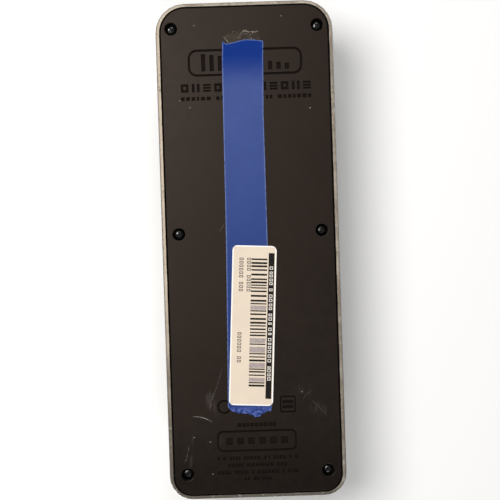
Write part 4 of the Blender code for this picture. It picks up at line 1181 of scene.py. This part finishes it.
def make_print(face):
    """Plain bars and small boxes on the label, at random from a fixed seed; across runs to +X."""
    half_x, half_y = LABEL_SIZE[0] / 2, LABEL_SIZE[1] / 2
    chance = random.Random(3)

    # A column of bars, some of them broad and grey
    dark = []
    grey = []
    middle = -2.9 * MM
    length = 8.9 * MM
    along = half_y - 7.2 * MM
    while along > -half_y + 11.5 * MM:
        if chance.random() < 0.2:
            deep = chance.uniform(2.0, 3.6) * MM
            grey.append((middle, along - deep / 2, length, deep))
            along -= deep + 0.3 * MM
            dark.append((middle, along - 0.35 * MM, length, 0.7 * MM))
            along -= 0.7 * MM + chance.choice((0.7, 1.1)) * MM
        else:
            deep = chance.choice((0.7, 0.9, 0.9, 1.1)) * MM
            dark.append((middle, along - deep / 2, length, deep))
            along -= deep + chance.choice((0.7, 0.8, 1.1, 1.6)) * MM

    # A dark band with pale boxes in it
    band = -half_x + 2.7 * MM
    dark.append((band, 0, 3.3 * MM, LABEL_SIZE[1] - 8 * MM))
    pale = []
    along = half_y - 12.4 * MM
    while along > -half_y + 13.6 * MM:
        deep = chance.choice((1.2, 1.5, 1.8)) * MM
        pale += hollow(band, along, 1.9 * MM, deep, 0.42 * MM)
        along -= deep + chance.choice((0.6, 0.6, 0.8, 2.0)) * MM

    # Three columns of small boxes, each with a gap
    boxes = []
    for across, start, count in (
        (2.9 * MM, half_y - 7.6 * MM, 10),
        (7.2 * MM, half_y - 7.6 * MM, 10),
        (7.4 * MM, half_y - 49.6 * MM, 9),
    ):
        skipped = chance.choice((2, 4, 6))
        for i in range(count):
            if i != skipped:
                boxes += hollow(across, start - 1.95 * MM * i, 2.2 * MM, 1.3 * MM, 0.36 * MM)

    low, high = face - PRINT_THICKNESS, face + PRINT_SINK
    flat_bars("label_bars", dark, low, high, ink)
    flat_bars("label_fine_bars", grey, low, high, ink_grey)
    flat_bars("label_small_marks", boxes, low, high, ink_thin)
    flat_bars("label_band_blocks", pale, low - PRINT_THICKNESS, low + PRINT_SINK, ink_pale)


def make_label():
    half_x, half_y = LABEL_SIZE[0] / 2, LABEL_SIZE[1] / 2
    top = -TAPE_GAP - 2 * TAPE_SLACK - TAPE_THICKNESS / 2
    face = top - LABEL_THICKNESS
    bm = bmesh.new()
    outline = rounded_outline(half_x, -half_y, half_y, LABEL_CORNER, LABEL_CORNER, 12)
    add_prism(bm, outline, face, top)
    label = add_object("price_label", bm, paper)
    bevel(label, 0.03 * MM, 2)
    even_normals(label)
    place_label(label)
    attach(label, BASE)
    make_print(face)


# Tread


def rib_inset(y, low, high):
    """How far a rib's ends stay inside the pad's side, more so at its round corners."""
    toe, heel = TREAD_ROUND
    inset = RIB_INSET
    for gap, radius in ((high.y - toe - y, toe), (y - (low.y + heel), heel)):
        if gap < 0:
            reach = math.sqrt(max(radius**2 - (gap - 1.6 * MM) ** 2, 0))
            inset = max(inset, RIB_INSET + radius - reach)
    return inset


def rib_outline(y, half_x, half_y, end):
    return [(x, y + b) for x, b in rounded_outline(half_x, -half_y, half_y, end, end, 5)]


def make_tread():
    low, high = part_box("tread_pad")
    base = high.z - RIB_HEIGHT
    toe, heel = TREAD_ROUND
    bm = bmesh.new()
    add_prism(bm, rounded_outline(high.x, low.y, high.y, heel, toe, 10), low.z, base)
    pad = add_object("tread_mat", bm, tread)
    bevel(pad, 0.35 * MM, 2)
    ribs = bmesh.new()
    for i in range(RIB_COUNT):
        y = (i - (RIB_COUNT - 1) / 2) * RIB_PITCH
        half = high.x - rib_inset(y, low, high)
        foot = rib_outline(y, half, *RIB_FOOT)
        crown = rib_outline(y, half - 0.6 * MM, *RIB_CROWN)
        add_drafted(ribs, foot, crown, base - 0.4 * MM, high.z)
    cut(pad, add_object("rib_tool", ribs), "UNION")
    bevel(pad, 0.4 * MM, 3, 30)
    even_normals(pad)
    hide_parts("tread_pad")
    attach(pad, TREADLE)


# Stage, light and camera


def stage_plane(name, z, facing, material):
    """A plane that only the camera sees; facing is 1 for up and -1 for down."""
    bm = bmesh.new()
    corners = box_corners(0, 0, 2 * STAGE_HALF, 2 * STAGE_HALF)
    if facing < 0:
        corners.reverse()
    bm.faces.new(add_ring(bm, corners, z))
    mesh = bpy.data.meshes.new(name)
    bm.to_mesh(mesh)
    bm.free()
    mesh.materials.append(material)
    obj = add_to_scene(name, mesh)
    obj.visible_shadow = False
    obj.visible_diffuse = False
    obj.visible_glossy = False
    obj.visible_transmission = False


def one_sided(name, colour):
    """A pale matt surface that is there from its front and clear from its back."""
    made, tree, shader = material_of(name, 0.9, Specular_IOR_Level=0.0)
    link(tree, shader.inputs["Base Color"], colour)
    clear = tree.nodes.new("ShaderNodeBsdfTransparent")
    choice = tree.nodes.new("ShaderNodeMixShader")
    back = node(tree, "NewGeometry").outputs["Backfacing"]
    tree.links.new(back, choice.inputs[0])
    tree.links.new(shader.outputs[0], choice.inputs[1])
    tree.links.new(clear.outputs[0], choice.inputs[2])
    tree.links.new(choice.outputs[0], tree.nodes["Material Output"].inputs["Surface"])
    return made


def make_stage():
    stage_plane("floor", FLOOR_Z, 1, one_sided("floor_pale", (0.86, 0.86, 0.85)))
    above = CAD_BOX[1].z + BACKDROP_GAP
    stage_plane("backdrop", above, -1, one_sided("backdrop_pale", (0.95, 0.95, 0.945)))


def area_light(name, where, size, power, colour=(1, 1, 1)):
    """A round soft light that points at the origin."""
    data = bpy.data.lights.new(name, "AREA")
    data.shape = "DISK"
    data.size = size
    data.energy = power
    data.color = colour
    obj = add_to_scene(name, data)
    obj.location = where
    obj.rotation_euler = (-Vector(where)).to_track_quat("-Z", "Y").to_euler()
    return obj


def broad_light(name, source, angle, strength):
    """An even light from far away; source points towards it."""
    data = bpy.data.lights.new(name, "SUN")
    data.angle = math.radians(angle)
    data.energy = strength
    obj = add_to_scene(name, data)
    obj.location = source
    obj.rotation_euler = Vector(source).to_track_quat("Z", "Y").to_euler()


def make_world():
    """Dim for light and reflections, and pale where the camera sees it."""
    world = bpy.data.worlds.new("studio")
    bpy.context.scene.world = world
    world.use_nodes = True
    tree = world.node_tree
    dim = tree.nodes["Background"]
    dim.inputs["Color"].default_value = (1, 1, 1, 1)
    dim.inputs["Strength"].default_value = WORLD_STRENGTH
    pale = node(tree, "Background", Color=WORLD_SEEN)
    seen = node(tree, "MixShader", Fac=node(tree, "LightPath").outputs["Is Camera Ray"])
    tree.links.new(dim.outputs[0], seen.inputs[1])
    tree.links.new(pale.outputs[0], seen.inputs[2])
    tree.links.new(seen.outputs[0], tree.nodes["World Output"].inputs["Surface"])


def make_lights():
    """The key from below leaves a hard streak on the casting, which gets a twin without gloss."""
    under = bpy.data.collections.new("lit_under")
    case = bpy.data.collections.new("lit_case")
    for obj in bpy.context.scene.objects:
        if obj.type == "MESH":
            upper = obj.name in nodes or obj.name.startswith(("cheek_screw", "tread_mat"))
            (case if upper else under).objects.link(obj)
    area_light("key_below", *KEY_BELOW).light_linking.receiver_collection = under
    matt = area_light("key_below_matt", *KEY_BELOW)
    matt.light_linking.receiver_collection = case
    matt.visible_glossy = False
    area_light("fill_below_toe", *FILL_BELOW_TOE)
    area_light("fill_below_heel", *FILL_BELOW_HEEL)
    broad_light("key_above", *KEY_ABOVE)
    broad_light("fill_above", *FILL_ABOVE)
    make_world()


def make_camera():
    data = bpy.data.cameras.new("camera")
    data.lens = LENS
    data.sensor_width = 36
    data.clip_start = 0.01
    data.clip_end = 50
    camera = add_to_scene("camera", data)
    upwards = Matrix.Rotation(math.pi, 4, "Y")
    turn = CAMERA_TURN.to_matrix().to_4x4()
    camera.matrix_world = Matrix.Translation(CAMERA_AT) @ upwards @ turn
    bpy.context.scene.camera = camera


def main():
    bpy.context.scene.view_settings.view_transform = "Standard"
    make_camera()
    make_stage()
    dress_nodes()
    make_sole()
    make_screws()
    make_tape()
    make_strings()
    make_film()
    make_label()
    make_tread()
    make_lights()


main()
